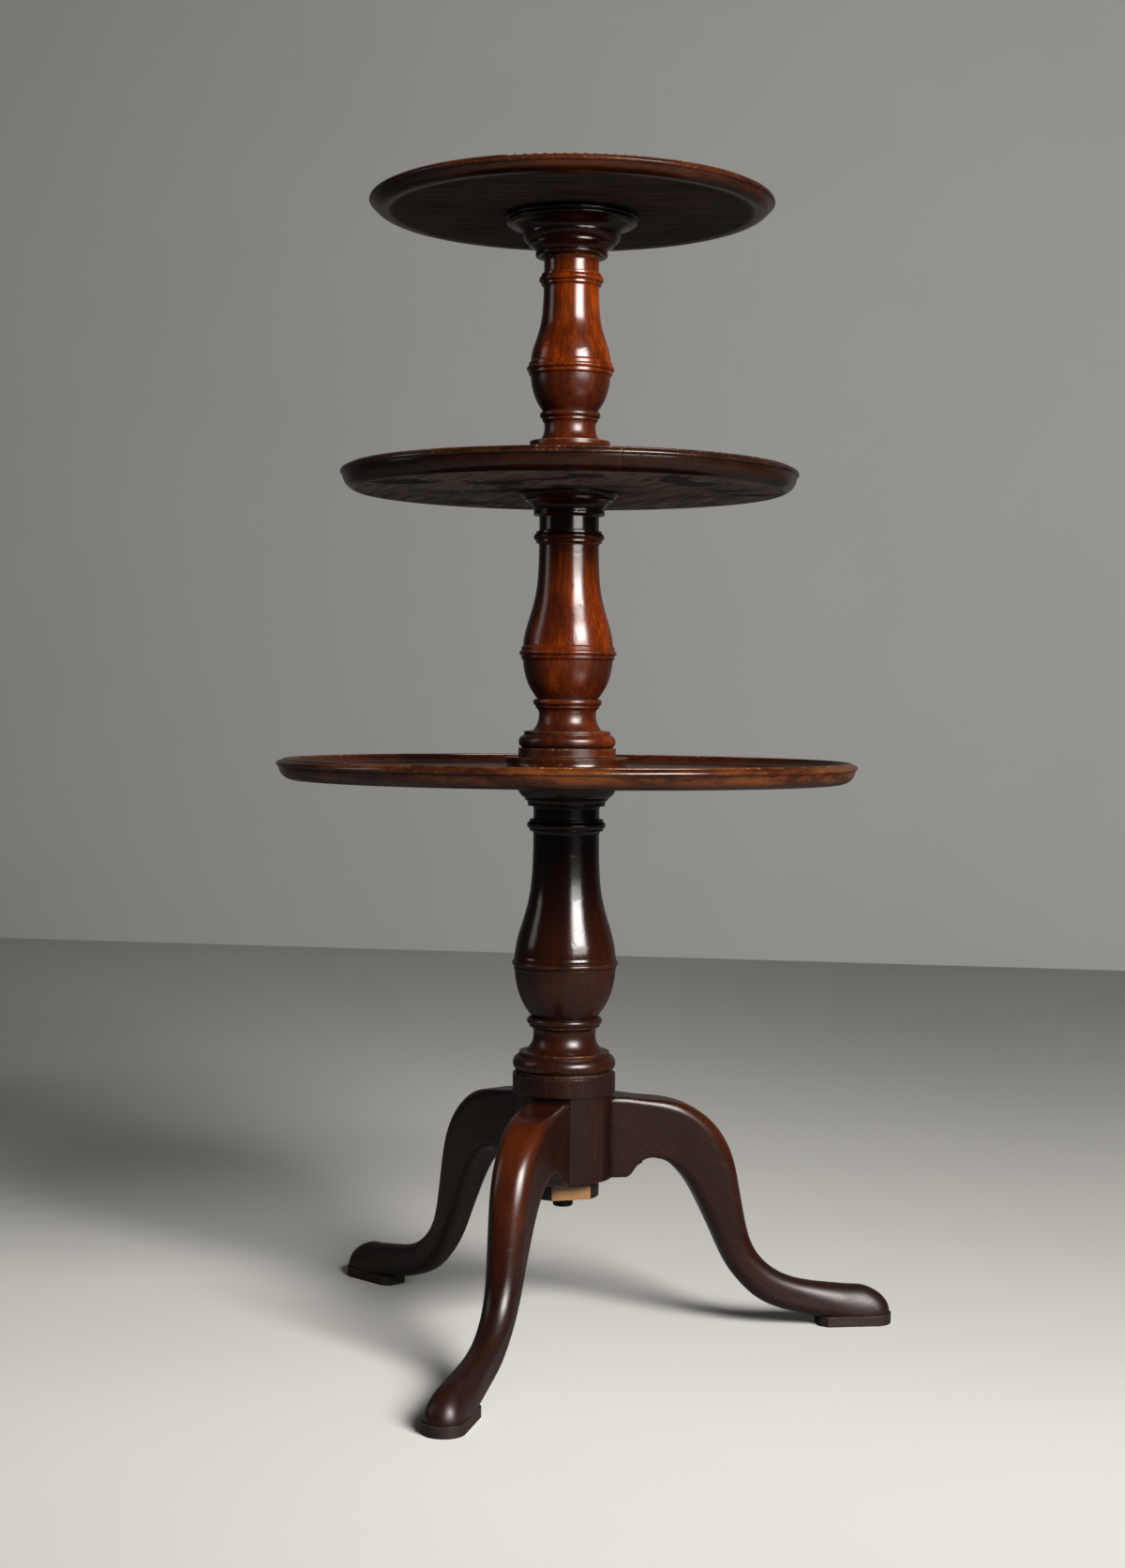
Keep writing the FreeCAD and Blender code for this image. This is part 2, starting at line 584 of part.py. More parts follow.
def make_leg(angle):
    """A cabriole leg with its bracket, pad foot and dovetail."""
    leg = Part.makeLoft(leg_section_wires() + toe_section_wires(), True, False)
    under_foot = Part.makeBox(2 * FOOT_CENTRE, 2 * LEG_WIDTH, FOOT_BLOCK_THICKNESS + FOOT_CENTRE,
                              V(0, -LEG_WIDTH, -FOOT_CENTRE))
    leg = leg.cut(under_foot).cut(bracket_waste()).fuse(dovetail(0.0)).removeSplitter()
    return turned_about_axis(leg, angle)


def make_foot_block(angle):
    """The flat block under a pad foot: straight back, bevelled corners, rounded toe."""
    side = FOOT_BLOCK_RADIUS
    back = FOOT_CENTRE - FOOT_BLOCK_LENGTH
    back_side = side - FOOT_BLOCK_TAPER
    corner = FOOT_BLOCK_CORNER
    right = [(FOOT_CENTRE, -side), (back + corner, -back_side), (back, corner - back_side)]
    left = [(x, -y) for x, y in reversed(right)]
    corners = [V(x, y, 0) for x, y in right + left]
    edges = [straight(a, b) for a, b in zip(corners, corners[1:])]
    edges.append(Part.Arc(corners[-1], V(FOOT_CENTRE + side, 0, 0), corners[0]).toShape())
    block = Part.Face(Part.Wire(edges)).extrude(V(0, 0, FOOT_BLOCK_THICKNESS))
    return turned_about_axis(block, angle)


# ---------------------------------------------------------------- retaining disc and screw
def make_retaining_disc():
    """Thick turned washer under the drum, with one side planed flat."""
    outline = Turning(DISC_RADIUS, DRUM_BOTTOM).to(DISC_RADIUS, DISC_BOTTOM + ARRIS)
    disc = outline.to(DISC_RADIUS - ARRIS, DISC_BOTTOM).solid()
    disc = disc.cut(block_beyond(DISC_FLAT_ANGLE, DISC_FLAT_OFFSET, 2 * DRUM_BOTTOM))
    return disc.cut(screw_hole(DISC_BOTTOM, DRUM_BOTTOM))


def make_retaining_screw():
    """Slotted iron screw, head down."""
    head_bottom = DISC_BOTTOM - SCREW_HEAD_HEIGHT
    outline = Turning(SCREW_TIP_RADIUS, SCREW_TIP)
    outline.to(SCREW_SHANK_RADIUS, SCREW_TIP - SCREW_POINT).to(SCREW_SHANK_RADIUS, DISC_BOTTOM)
    outline.across(SCREW_HEAD_RADIUS - ARRIS).to(SCREW_HEAD_RADIUS, DISC_BOTTOM - ARRIS)
    outline.to(SCREW_HEAD_RADIUS, head_bottom + SCREW_HEAD_ROUND)
    screw = outline.ovolo(SCREW_HEAD_RADIUS - SCREW_HEAD_ROUND, head_bottom).solid()
    slot = Part.makeBox(4 * SCREW_HEAD_RADIUS, SCREW_SLOT_WIDTH, SCREW_SLOT_DEPTH,
                        V(-2 * SCREW_HEAD_RADIUS, -SCREW_SLOT_WIDTH / 2, head_bottom))
    return screw.cut(turned_about_axis(slot, SCREW_SLOT_ANGLE))


# ---------------------------------------------------------------- the whole object
def build():
    wide_board, narrow_board = make_middle_tray_boards()
    pieces = {
        "tripod_drum": make_tripod_drum(),
        "lower_column": make_lower_column(),
        "middle_column": make_middle_column(),
        "upper_column": make_upper_column(),
        "bottom_tray": make_tray(BOTTOM_TRAY, BOTTOM_TRAY_LEVEL),
        "middle_tray_wide_board": wide_board,
        "middle_tray_narrow_board": narrow_board,
        "top_tray": make_tray(TOP_TRAY, TOP_TRAY_LEVEL),
        "top_bearer": make_top_bearer(),
        "retaining_disc": make_retaining_disc(),
        "retaining_screw": make_retaining_screw(),
    }
    for name, angle in LEG_ANGLES.items():
        pieces[name] = make_leg(angle)
        pieces[name.replace("leg", "foot_block")] = make_foot_block(angle)
    return pieces


os.makedirs("parts", exist_ok=True)
for node, shape in build().items():
    solids = shape.Solids
    if len(solids) == 1:
        shape = solids[0]
    volume = shape.Volume / 1000
    print(f"{node:26s} solids {len(solids)}  valid {shape.isValid()}  volume {volume:8.1f} cm3")
    shape.exportStep(f"parts/{node}.step")
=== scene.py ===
"""Finish and studio for a three-tier mahogany dumb waiter: trays on a turned pillar and a tripod."""

import math

import bpy
from bpy.props import FloatProperty, FloatVectorProperty, PointerProperty
from mathutils import Matrix, Vector


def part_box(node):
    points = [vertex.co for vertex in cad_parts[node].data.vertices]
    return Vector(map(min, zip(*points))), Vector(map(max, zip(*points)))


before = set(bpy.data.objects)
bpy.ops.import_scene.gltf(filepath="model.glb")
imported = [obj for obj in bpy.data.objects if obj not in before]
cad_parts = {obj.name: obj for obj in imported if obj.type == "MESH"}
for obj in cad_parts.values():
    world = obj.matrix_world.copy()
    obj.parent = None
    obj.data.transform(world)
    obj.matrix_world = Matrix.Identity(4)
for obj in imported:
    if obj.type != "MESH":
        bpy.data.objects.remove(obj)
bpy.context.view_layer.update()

bl_info = {
    "name": "Three-Tier Dumb Waiter",
    "version": (1, 0, 0),
    "blender": (4, 5, 0),
    "location": "View3D > Sidebar > Dumb Waiter",
    "description": "Finishes a turned mahogany dumb waiter and lays out its studio",
    "category": "Object",
}

LEGS = {"leg_front": 0.70, "leg_right": 0.36, "leg_left": 0.25}    # how far each knee is lightened: worn through the stain, and painted light, most on the front leg, which faces the light
FOOT_BLOCKS = ("foot_block_front", "foot_block_right", "foot_block_left")

UP = Vector((0.0, 0.0, 1.0))
MIX_FIRST = 6                 # numbers of a colour mix node's sockets: its two colours, and its result
MIX_SECOND = 7
MIX_RESULT = 2
SAMPLES = 6                   # rays for each soft edge and each hollow

# How the boards of the trays lie: the angle of their grain from the X axis, in degrees,
# how far below the tray and how far aside the heart of the tree was, in metres, how much
# stain the board took, how much pale dusting, partly a painted reflection of the pale wall, lies on the
# dry wood below, the colour of that wood, made paler on the middle tray by the same painted reflection,
# the colour where the polish is rubbed, and how much of the rim that is.
TRAY_BOARDS = {
    "bottom_tray": {
        "angle": 24.0, "heart": 0.31, "aside": 0.05, "stain": 0.0, "dust_and_sheen": 0.3,
        "below": (0.034, 0.022, 0.016), "worn": (0.52, 0.15, 0.032), "rim": 0.42},
    "middle_tray_wide_board": {
        "angle": 127.4, "heart": 0.22, "aside": 0.11, "stain": 0.80, "dust_and_sheen": 0.9,
        "below": (0.230, 0.185, 0.155), "worn": (0.20, 0.060, 0.025), "rim": 0.06},
    "middle_tray_narrow_board": {
        "angle": 125.5, "heart": 0.17, "aside": -0.16, "stain": 0.65, "dust_and_sheen": 1.0,
        "below": (0.260, 0.210, 0.175), "worn": (0.24, 0.075, 0.030), "rim": 0.12},
    "top_tray": {
        "angle": 14.0, "heart": 0.26, "aside": -0.06, "stain": 0.20, "dust_and_sheen": 0.16,
        "below": (0.060, 0.032, 0.022), "worn": (0.36, 0.090, 0.025), "rim": 0.14},
}
# Width of the moulded and polished edge, as it is seen from below
TRAY_THUMB = {"bottom_tray": 0.0145, "middle_tray": 0.0145, "top_tray": 0.020}
RIM_RUB = 0.010               # how far in from the rim's outside the polish is thin
RIM_THIN = 0.0025             # and how far in it is thinnest
RIM_EDGE = (0.40, 0.62)       # over this span of their noise its patches set in
HEART_TILT = 3.5              # degrees between a board's face and the heart of its tree

BOARD_JOINT_ANGLE = 217.4     # the glued joint of the middle tray: its direction from the axis
BOARD_JOINT_OFFSET = 0.030
BOARD_JOINT_WIDTH = 0.0007
BOARD_JOINT_CORE = 0.00021

LEG_GRAIN_SLOPE = 38.0        # degrees down from level, along the leg
KNEE_REACH = 0.140            # the most lightened point of a knee, from the axis
KNEE_HEIGHT = 0.222
KNEE_FADE = 0.15              # how far from there the stain is whole
KNEE_LIFT = 0.2               # the most lightened side, where the painted light falls, faces up by this much for each 1 outward
KNEE_FACING = (-0.15, 0.85)   # how nearly the leg must face that way to be lightened at all, and fully
FOOT_SCUFFS = 0.13            # how much more blurred the polish is on the feet
WORN_SCUFFS = 0.20            # on the worn edges of the legs
BULB_SCUFFS = 0.10            # and below the rings of the pillar
ARRIS = 0.0006                # how far the edges of a piece are softened
LEG_ARRIS = 0.005             # and those of a leg
FOOT_TOP = 0.11               # below this the legs start to be scuffed
FOOT_SCUFFED = 0.044          # and below this they are scuffed all over
BULB_EDGE = 0.008             # over this height the darkening of a bulb sets in
RELIEF = 0.00014              # depth of the marks in the polish
RUST_RELIEF = 0.0003
RUST_EDGE = (0.48, 0.62)      # over this span of its noise the iron turns to rust

# How far aside and beyond the shared origin the heart of each piece's tree was, in metres
PILLAR_HEART = (0.055, 0.034)
PILLAR_HEART_TURN = 2.1       # radians from one length of the pillar to the next
DRUM_HEART = (0.03, 0.06)
LEG_HEART = (0.09, 0.04)
LEG_HEART_STEP = (0.03, 0.0)  # from one leg to the next
BLOCK_HEART = (0.08, 0.0)
BLOCK_HEART_STEP = (0.0, 0.02)
DISC_HEART = (0.05, 0.03)
BLOCK_STAIN = 0.6             # how much of its own colour a block or the disc took
DISC_STAIN = 0.7

# How dark each turned piece is made, partly by stain and partly as painted shade, most on the lower
# column and the bearer; how far down from the tray above it shade is painted; how high its ring stands,
# and how much darker the bulb below the ring is made.
PILLAR = {
    "lower_column": {"stain": 0.92, "painted_shade": 0.20, "ring": 0.400, "bulb_darkening": 0.0},
    "middle_column": {"stain": 0.24, "painted_shade": 0.14, "ring": 0.726, "bulb_darkening": 0.35},
    "upper_column": {"stain": 0.04, "painted_shade": 0.05, "ring": 1.020, "bulb_darkening": 0.66},
    "top_bearer": {"stain": 0.80, "painted_shade": 0.10, "ring": 1.100, "bulb_darkening": 0.0},
}
STAIN_EDGE = (0.46, 0.66)     # over this span of their noise the clouds of stain darken
STAIN_SPREAD = 0.5            # how much more stain lies in the darkest clouds, and the most there is
STAIN_MOST = 0.92
DISC_FLAT_ANGLE = -56.0       # the planed flat on the disc
DISC_FLAT_OFFSET = 0.0316
DISC_FLAT_SHARE = 0.70        # of the disc's height, from below
DISC_FLAT_EDGE = 0.0002
DISC_FLAT_TOP_EDGE = 0.0006

# How many features lie in a metre: across the grain, across it again, and along it
DRIFT = (6.0, 6.0, 0.9)
RIBBONS = (130.0, 130.0, 3.2)
FIGURE_PATCHES = (24.0, 24.0, 9.0)
FIBRES = (470.0, 470.0, 11.0)
FLECKS = (300.0, 300.0, 26.0)
PORES = (1250.0, 1250.0, 150.0)
DRY_STREAKS = (190.0, 190.0, 9.0)
STAIN_CLOUDS = (15.0, 15.0, 12.0)
KNEE_PATCHES = (38.0, 38.0, 9.0)
# And along X, Y and Z
RIM_PATCHES = (14.0, 14.0, 60.0)
SCRATCHES = (75.0, 43.0, 61.0)
# And in any direction
WEAR_PATCHES = 40.0
WEAR_SPECKS = 320.0
GRIME_AND_SHADE_PATCHES = 30.0
POLISH_WAVES = 34.0
DENTS = 120.0
SCRATCH_PATCHES = 21.0
HAZE = 22.0
DRY_BLOTS = 17.0
DRY_CLOUDS = 6.0
RUST = 260.0
STAGE_CLOUDS = 2.2

DRIFT_REACH = 0.035           # how far the grain wanders, metres
TONE_MIDDLE = 0.52            # the mean tone of the grain, and how far it is stretched from there
TONE_CONTRAST = 3.4
SCRATCH_WIDTH = 0.006         # beside the cells that the scratches run between
SCRATCH_DEPTH = 0.6
WEAR_REACH = 0.0034           # how far round an edge the polish is worn, metres
PAINTED_SHADE_FACING = 0.9          # how far up a surface is taken to face when the painted shade over it is looked for
PAINTED_SHADE = (0.002, 0.0008, 0.0006)  # colours of the painted shade under the trays, and of the dirt and painted shade in corners
GRIME_AND_SHADE = (0.006, 0.003, 0.0022)
GLUE = (0.006, 0.004, 0.003)
UNDER_FACING = (-0.75, -0.97)        # how far up a face points where the dry wood starts and is whole
UNDER_EDGE = (-0.002, 0.009)         # and how far in from the moulded rim that is, metres
DRY_DUST_AND_SHEEN = (0.46, 0.42, 0.375)       # colours that lie on the dry wood under the trays; the pale one is partly a painted reflection of the wall
DRY_DAMP = (0.006, 0.005, 0.004)
DAMP_SHARE = 0.9
DRY_DARK_GRAIN = (0.20, 0.18, 0.17)  # what the dry wood's colour is multiplied by, along its grain
DRY_PALE_GRAIN = (2.0, 1.9, 1.85)
# How much of a colour covers the polish, in painted shade under the trays, in the dirt and painted shade
# of corners, on a worn edge and along the joint
PAINTED_SHADE_SHARE = 0.94
GRIME_AND_SHADE_SHARE = 0.85
WORN_SHARE = 0.55
GLUE_SHARE = 0.85
# How far the grain, a chip and the joint stand out, or lie back, beside the marks of use
GRAIN_HEIGHT = 0.35
CHIP_HEIGHT = -0.35
JOINT_HEIGHT = -0.6
# How much more blurred the polish is where there is haze, dirt and painted shade in corners, a chip, a
# scratch or a pore, what is taken off again because some haze lies everywhere, and what the dry wood
# adds
BLUR = {"haze": 0.11, "grime_and_shade": 0.25, "chips": 0.30, "scratches": 0.12, "pores": 0.08}
BLUR_MEAN = 0.055
BLUR_DRY = 0.66
POLISH_IOR = 1.52

KEY_AIM = 0.75                # height of the point that the lights face, metres
SHINE_HEIGHT = 1.70
SHINE_SETBACK = 0.03          # how much nearer than the key light the shine light stands
SHINE_SIZE = (1.95, 1.85)
SIDE_TURN = -88.0             # degrees round the object, from the camera
SIDE_DISTANCE = 2.6
SIDE_HEIGHT = 1.60
SIDE_SIZE = (0.7, 1.5)
PAINTED_LIGHT_MIDDLE = (-0.45, -0.10, 0.0)    # the middle of the pool of light painted on the floor, from the axis, as the camera faces
PAINTED_LIGHT_REACH = (0.60, 2.6)             # how far from that spot the painted light starts and ends to fall off
PAINTED_FRONT_REACH = (0.20, 1.60)           # how far in front of the object the floor's painted light starts and ends to fall off
PAINTED_FRONT_FADE = 0.50
PAINTED_SIDE_REACH = (-0.30, 0.90)           # how far right of the object the floor's painted light starts and ends to fall off
PAINTED_SIDE_FADE = 0.78
FLOOR_MIDDLE = (0.0, 1.2, 0.0)       # the middle of the part of the floor that the lights reach
FLOOR_REACH = (3.7, 5.0)             # how far from it the floor starts and ends to fade away
FLOOR_HALF = 30.0                    # half the side of the floor's square
WALL_HALF = 9.0
WALL_TOP = 6.0
FLOOR_ROUGHNESS = 0.9
WALL_ROUGHNESS = 0.8
STAGE_GLOSS = 0.08

CAMERA_AZIMUTH = 18.1         # degrees round the object, from straight in front
CAMERA_DISTANCE = 2.4396      # metres from the axis, and above the floor
CAMERA_HEIGHT = 0.6716
CAMERA_YAW = 0.104            # degrees off the axis, up, and round the line of sight
CAMERA_PITCH = -1.961
CAMERA_ROLL = 0.539
CAMERA_LENS = 53.085          # millimetres, for the long side of the film
CAMERA_LONG_SIDE = 36.0
CAMERA_SEES = (0.05, 100.0)   # nearest and furthest that it sees, metres


def tint(name, description, default):
    """A colour that the user can set."""
    return FloatVectorProperty(
        name=name, description=description, default=default, subtype="COLOR", size=3, min=0.0, max=1.0)


def length(name, description, default):
    """A length in metres that the user can set."""
    return FloatProperty(
        name=name, description=description, default=default, min=0.0, subtype="DISTANCE", unit="LENGTH")


def share(name, description, default):
    """A share from nothing to all that the user can set."""
    return FloatProperty(
        name=name, description=description, default=default, min=0.0, max=1.0, subtype="FACTOR")


class PillarSettings(bpy.types.PropertyGroup):
    """Finish of the turned columns and the bearer under the top tray."""

    light: tint("Light", "Colour of the brightest stripes", (0.64, 0.106, 0.004))
    middle: tint("Middle", "Colour of most of the wood", (0.250, 0.033, 0.0015))
    dark: tint("Dark", "Colour of the late wood and pores", (0.030, 0.004, 0.001))
    # Also the colour of the painted shade on the lower pieces and of the darker bulbs.
    stain: tint("Stain", "Colour of the old stain", (0.024, 0.006, 0.003))
    ring_spacing: length("Ring Spacing", "Width of one year's growth", 0.0042)
    roughness: share("Roughness", "How blurred the polish reflects", 0.17)
    wear: share("Wear", "How far the beads and arrises are rubbed through", 0.95)
    worn: tint("Worn", "Colour of the polish where it is rubbed", (0.50, 0.17, 0.050))
    bare: tint("Bare Wood", "Colour of the wood in the chips", (0.75, 0.42, 0.18))


class TraySettings(bpy.types.PropertyGroup):
    """Finish of the three trays."""

    light: tint("Light", "Colour of the brightest stripes", (0.155, 0.034, 0.008))
    middle: tint("Middle", "Colour of most of the wood", (0.066, 0.014, 0.004))
    dark: tint("Dark", "Colour of the late wood and pores", (0.014, 0.004, 0.002))
    stain: tint("Stain", "Colour of the old stain", (0.012, 0.005, 0.003))
    ring_spacing: length("Ring Spacing", "Width of one year's growth", 0.0062)
    roughness: share("Roughness", "How blurred the polish reflects", 0.18)
    wear: share("Wear", "How far the rims are rubbed through", 0.9)
    bare: tint("Bare Wood", "Colour of the wood in the chips", (0.72, 0.40, 0.19))


class TripodSettings(bpy.types.PropertyGroup):
    """Finish of the drum, the legs, the foot blocks and the fixings under the drum."""

    light: tint("Light", "Colour of the brightest stripes", (0.066, 0.015, 0.006))
    middle: tint("Middle", "Colour of most of the wood", (0.026, 0.0055, 0.003))
    dark: tint("Dark", "Colour of the late wood and pores", (0.008, 0.002, 0.0015))
    # This colour is also painted light on the knees that face out and up.
    rubbed: tint("Rubbed And Lit", "Colour of the knees, where the stain has gone", (0.22, 0.040, 0.006))
    block: tint("Foot Block", "Colour of the blocks under the feet", (0.034, 0.018, 0.011))
    disc: tint("Disc", "Colour of the disc under the drum", (0.022, 0.013, 0.008))
    planed: tint("Planed Wood", "Colour of the disc's planed flat", (0.50, 0.235, 0.085))
    iron: tint("Iron", "Colour of the screw", (0.030, 0.024, 0.021))
    rust: tint("Rust", "Colour of the screw where it has rusted", (0.070, 0.032, 0.016))
    ring_spacing: length("Ring Spacing", "Width of one year's growth", 0.0050)
    roughness: share("Roughness", "How blurred the polish reflects", 0.24)
    block_roughness: share("Foot Block Roughness", "How blurred the blocks reflect", 0.52)
    disc_roughness: share("Disc Roughness", "How blurred the disc reflects", 0.5)
    wear: share("Wear", "How far the arrises are rubbed through", 0.6)
    drum_worn: tint("Worn Drum", "Colour of the drum's polish where it is rubbed", (0.20, 0.075, 0.035))
    leg_worn: tint("Worn Legs", "Colour of the legs' polish where it is rubbed", (0.24, 0.085, 0.035))
    bare: tint("Bare Wood", "Colour of the wood in the chips", (0.45, 0.22, 0.10))
    block_worn: tint("Worn Blocks", "Colour of the foot blocks' rubbed edges", (0.16, 0.08, 0.045))
    block_bare: tint("Chipped Blocks", "Colour of the wood in the blocks' chips", (0.30, 0.17, 0.09))


class StudioSettings(bpy.types.PropertyGroup):
    """Floor, wall and lights."""

    floor: tint("Floor", "Colour of the floor", (0.30, 0.30, 0.29))
    wall: tint("Wall", "Colour of the wall", (0.40, 0.403, 0.40))
    air: tint("Surroundings", "Light from all round", (0.015, 0.0152, 0.0155))
    backdrop: tint("Backdrop", "What is seen past the floor and the wall", (0.20, 0.20, 0.198))
    lamp: tint("Lamps", "Colour of the lights", (1.0, 0.965, 0.92))
    floor_lift: FloatProperty(
        name="Floor Lift", description="How much paler the floor looks than it lights the object",
        default=3.85, min=0.0)
    wall_lift: FloatProperty(
        name="Wall Lift", description="How much paler the wall looks than it lights the object",
        default=1.78, min=0.0)
    mirrored: share("Mirrored", "How much of the floor's and the wall's lift the polish mirrors", 0.12)
    air_mirrored: share("Backdrop Mirrored", "How much of the backdrop the polish mirrors", 0.10)
    # The far floor is painted darker, as if less lit, round a pool of painted light.
    floor_painted_falloff: share("Floor Painted Falloff", "How pale the far floor is, as a share of the near floor", 0.88)
    wall_distance: length("Wall Distance", "From the object's axis to the wall", 3.71)
    wall_turn: FloatProperty(
        name="Wall Turn", description="Turn of the wall against the camera",
        default=math.radians(-10.28), subtype="ANGLE", unit="ROTATION")
    key_distance: length("Key Distance", "From the object's axis to the large soft light", 3.0)
    key_height: length("Key Height", "Height of the large soft light's middle", 2.02)
    key_width: length("Key Width", "Width of the large soft light", 1.45)
    key_drop: length("Key Drop", "Height of the large soft light, from top to bottom", 1.30)
    key_turn: FloatProperty(
        name="Key Turn", description="How far right of the camera the large soft light stands",
        default=math.radians(35.0), subtype="ANGLE", unit="ROTATION")
    key_power: FloatProperty(
        name="Key Power", description="Power of the large soft light",
        default=112.0, min=0.0, unit="POWER")
    shine_power: FloatProperty(
        name="Shine Power", description="A wider rim round the same light, for what the polish mirrors",
        default=95.0, min=0.0, unit="POWER")
    side_power: FloatProperty(
        name="Side Power", description="A narrow light on the left, for what the polish mirrors",
        default=4.5, min=0.0, unit="POWER")


class DumbWaiterSettings(bpy.types.PropertyGroup):
    """Everything that a user can set."""

    pillar: PointerProperty(type=PillarSettings, name="Pillar", description="Turned wood")
    trays: PointerProperty(type=TraySettings, name="Trays", description="Dished trays")
    tripod: PointerProperty(type=TripodSettings, name="Tripod", description="Drum, legs and feet")
    studio: PointerProperty(type=StudioSettings, name="Studio", description="Floor, wall and lights")


class NodeBench:
    """Adds shader nodes to one tree and joins them."""

    def __init__(self, tree):
        self.tree = tree

    def feed(self, socket, value):
        if isinstance(value, bpy.types.NodeSocket):
            self.tree.links.new(value, socket)
        elif socket.type == "RGBA" and len(value) == 3:
            socket.default_value = (*value, 1.0)
        else:
            socket.default_value = value

    def add(self, kind, feeds=None, **settings):
        node = self.tree.nodes.new("ShaderNode" + kind)
        for name, value in settings.items():
            setattr(node, name, value)
        for socket, value in (feeds or {}).items():
            self.feed(node.inputs[socket], value)
        return node

    def group(self, tree, **feeds):
        """Places a node group; a feed's underscores stand for spaces."""
        node = self.add("Group", node_tree=tree)
        for name, value in feeds.items():
            self.feed(node.inputs[name.replace("_", " ")], value)
        return node.outputs

    def calc(self, operation, first, second=0.0):
        return self.add("Math", {0: first, 1: second}, operation=operation).outputs[0]

    def add_up(self, *values):
        """The sum of (value, weight) pairs."""
        total = 0.0
        for value, weight in values:
            node = self.add("Math", {0: value, 1: weight, 2: total}, operation="MULTIPLY_ADD")
            total = node.outputs[0]
        return total

    def times(self, first, *others):
        for other in others:
            first = self.calc("MULTIPLY", first, other)
        return first

    def band(self, value, start, end, low=0.0, high=1.0):
        """Low before start, high after end, and smooth between them."""
        feeds = {"Value": value, 1: start, 2: end, 3: low, 4: high}
        return self.add("MapRange", feeds, interpolation_type="SMOOTHSTEP").outputs[0]

    def mix(self, amount, first, second, blend="MIX"):
        feeds = {0: amount, MIX_FIRST: first, MIX_SECOND: second}
        return self.add("Mix", feeds, data_type="RGBA", blend_type=blend).outputs[MIX_RESULT]

    def vector_calc(self, operation, *values, output=0):
        return self.add("VectorMath", dict(enumerate(values)), operation=operation).outputs[output]

    def stretch(self, vector, x, y, z):
        return self.vector_calc("MULTIPLY", vector, (x, y, z))

    def dot(self, first, second):
        return self.vector_calc("DOT_PRODUCT", first, second, output="Value")

    def distance(self, place, point):
        return self.vector_calc("DISTANCE", place, point, output="Value")

    def off_axis(self, place):
        """How far a place is from the upright axis."""
        return self.vector_calc("LENGTH", self.stretch(place, 1.0, 1.0, 0.0), output="Value")

    def upright(self, vector):
        """The height of a place, or how far a direction points up."""
        return self.add("SeparateXYZ", {0: vector}).outputs["Z"]

    def noise(self, vector, features, detail=2.0, roughness=0.5, output="Fac"):
        """Noise with so many features in a metre, alike in all directions or given for each."""
        sides = features if isinstance(features, tuple) else (features, features, features)
        feeds = {
            "Vector": self.stretch(vector, *sides), "Scale": 1.0, "Detail": detail,
            "Roughness": roughness,
        }
        return self.add("TexNoise", feeds).outputs[output]

    def cells(self, vector, features, **settings):
        """How far a place is from the middle, or the edge, of the cell that it lies in."""
        feeds = {"Vector": self.stretch(vector, *features), "Scale": 1.0}
        return self.add("TexVoronoi", feeds, **settings).outputs["Distance"]

    def openness(self, feeds, **settings):
        """How open a place is, from 0 in a hollow to 1 where nothing is near."""
        return self.add("AmbientOcclusion", feeds, samples=SAMPLES, **settings).outputs["AO"]

    def place(self, along, aside, beyond):
        """The piece's own coordinates, turned so that Z runs along the grain, from the heart."""
        coordinates = self.add("TexCoord").outputs["Object"]
        turn = along.normalized().rotation_difference(UP).to_euler()
        feeds = {"Vector": coordinates, "Location": (aside, beyond, 0.0), "Rotation": turn}
        return self.add("Mapping", feeds, vector_type="POINT").outputs[0]

    def show(self, shader, output="OutputMaterial"):
        """Joins a shader to the tree's output."""
        self.feed(self.add(output).inputs["Surface"], shader)


def new_material(name):
    """An empty material, and the bench for its nodes."""
    material = bpy.data.materials.new(name)
    material.use_nodes = True
    material.node_tree.nodes.clear()
    return material, NodeBench(material.node_tree)


def new_group(name, inputs, outputs):
    """A shader node group, as its bench, what comes in and where the results go."""
    tree = bpy.data.node_groups.new(name, "ShaderNodeTree")
    for label, kind, default in inputs:
        socket = tree.interface.new_socket(name=label, in_out="INPUT", socket_type="NodeSocket" + kind)
        if default is not None:
            socket.default_value = default
    for label, kind in outputs:
        tree.interface.new_socket(name=label, in_out="OUTPUT", socket_type="NodeSocket" + kind)
    bench = NodeBench(tree)
    source = tree.nodes.new("NodeGroupInput").outputs
    target = tree.nodes.new("NodeGroupOutput").inputs
    return bench, source, target


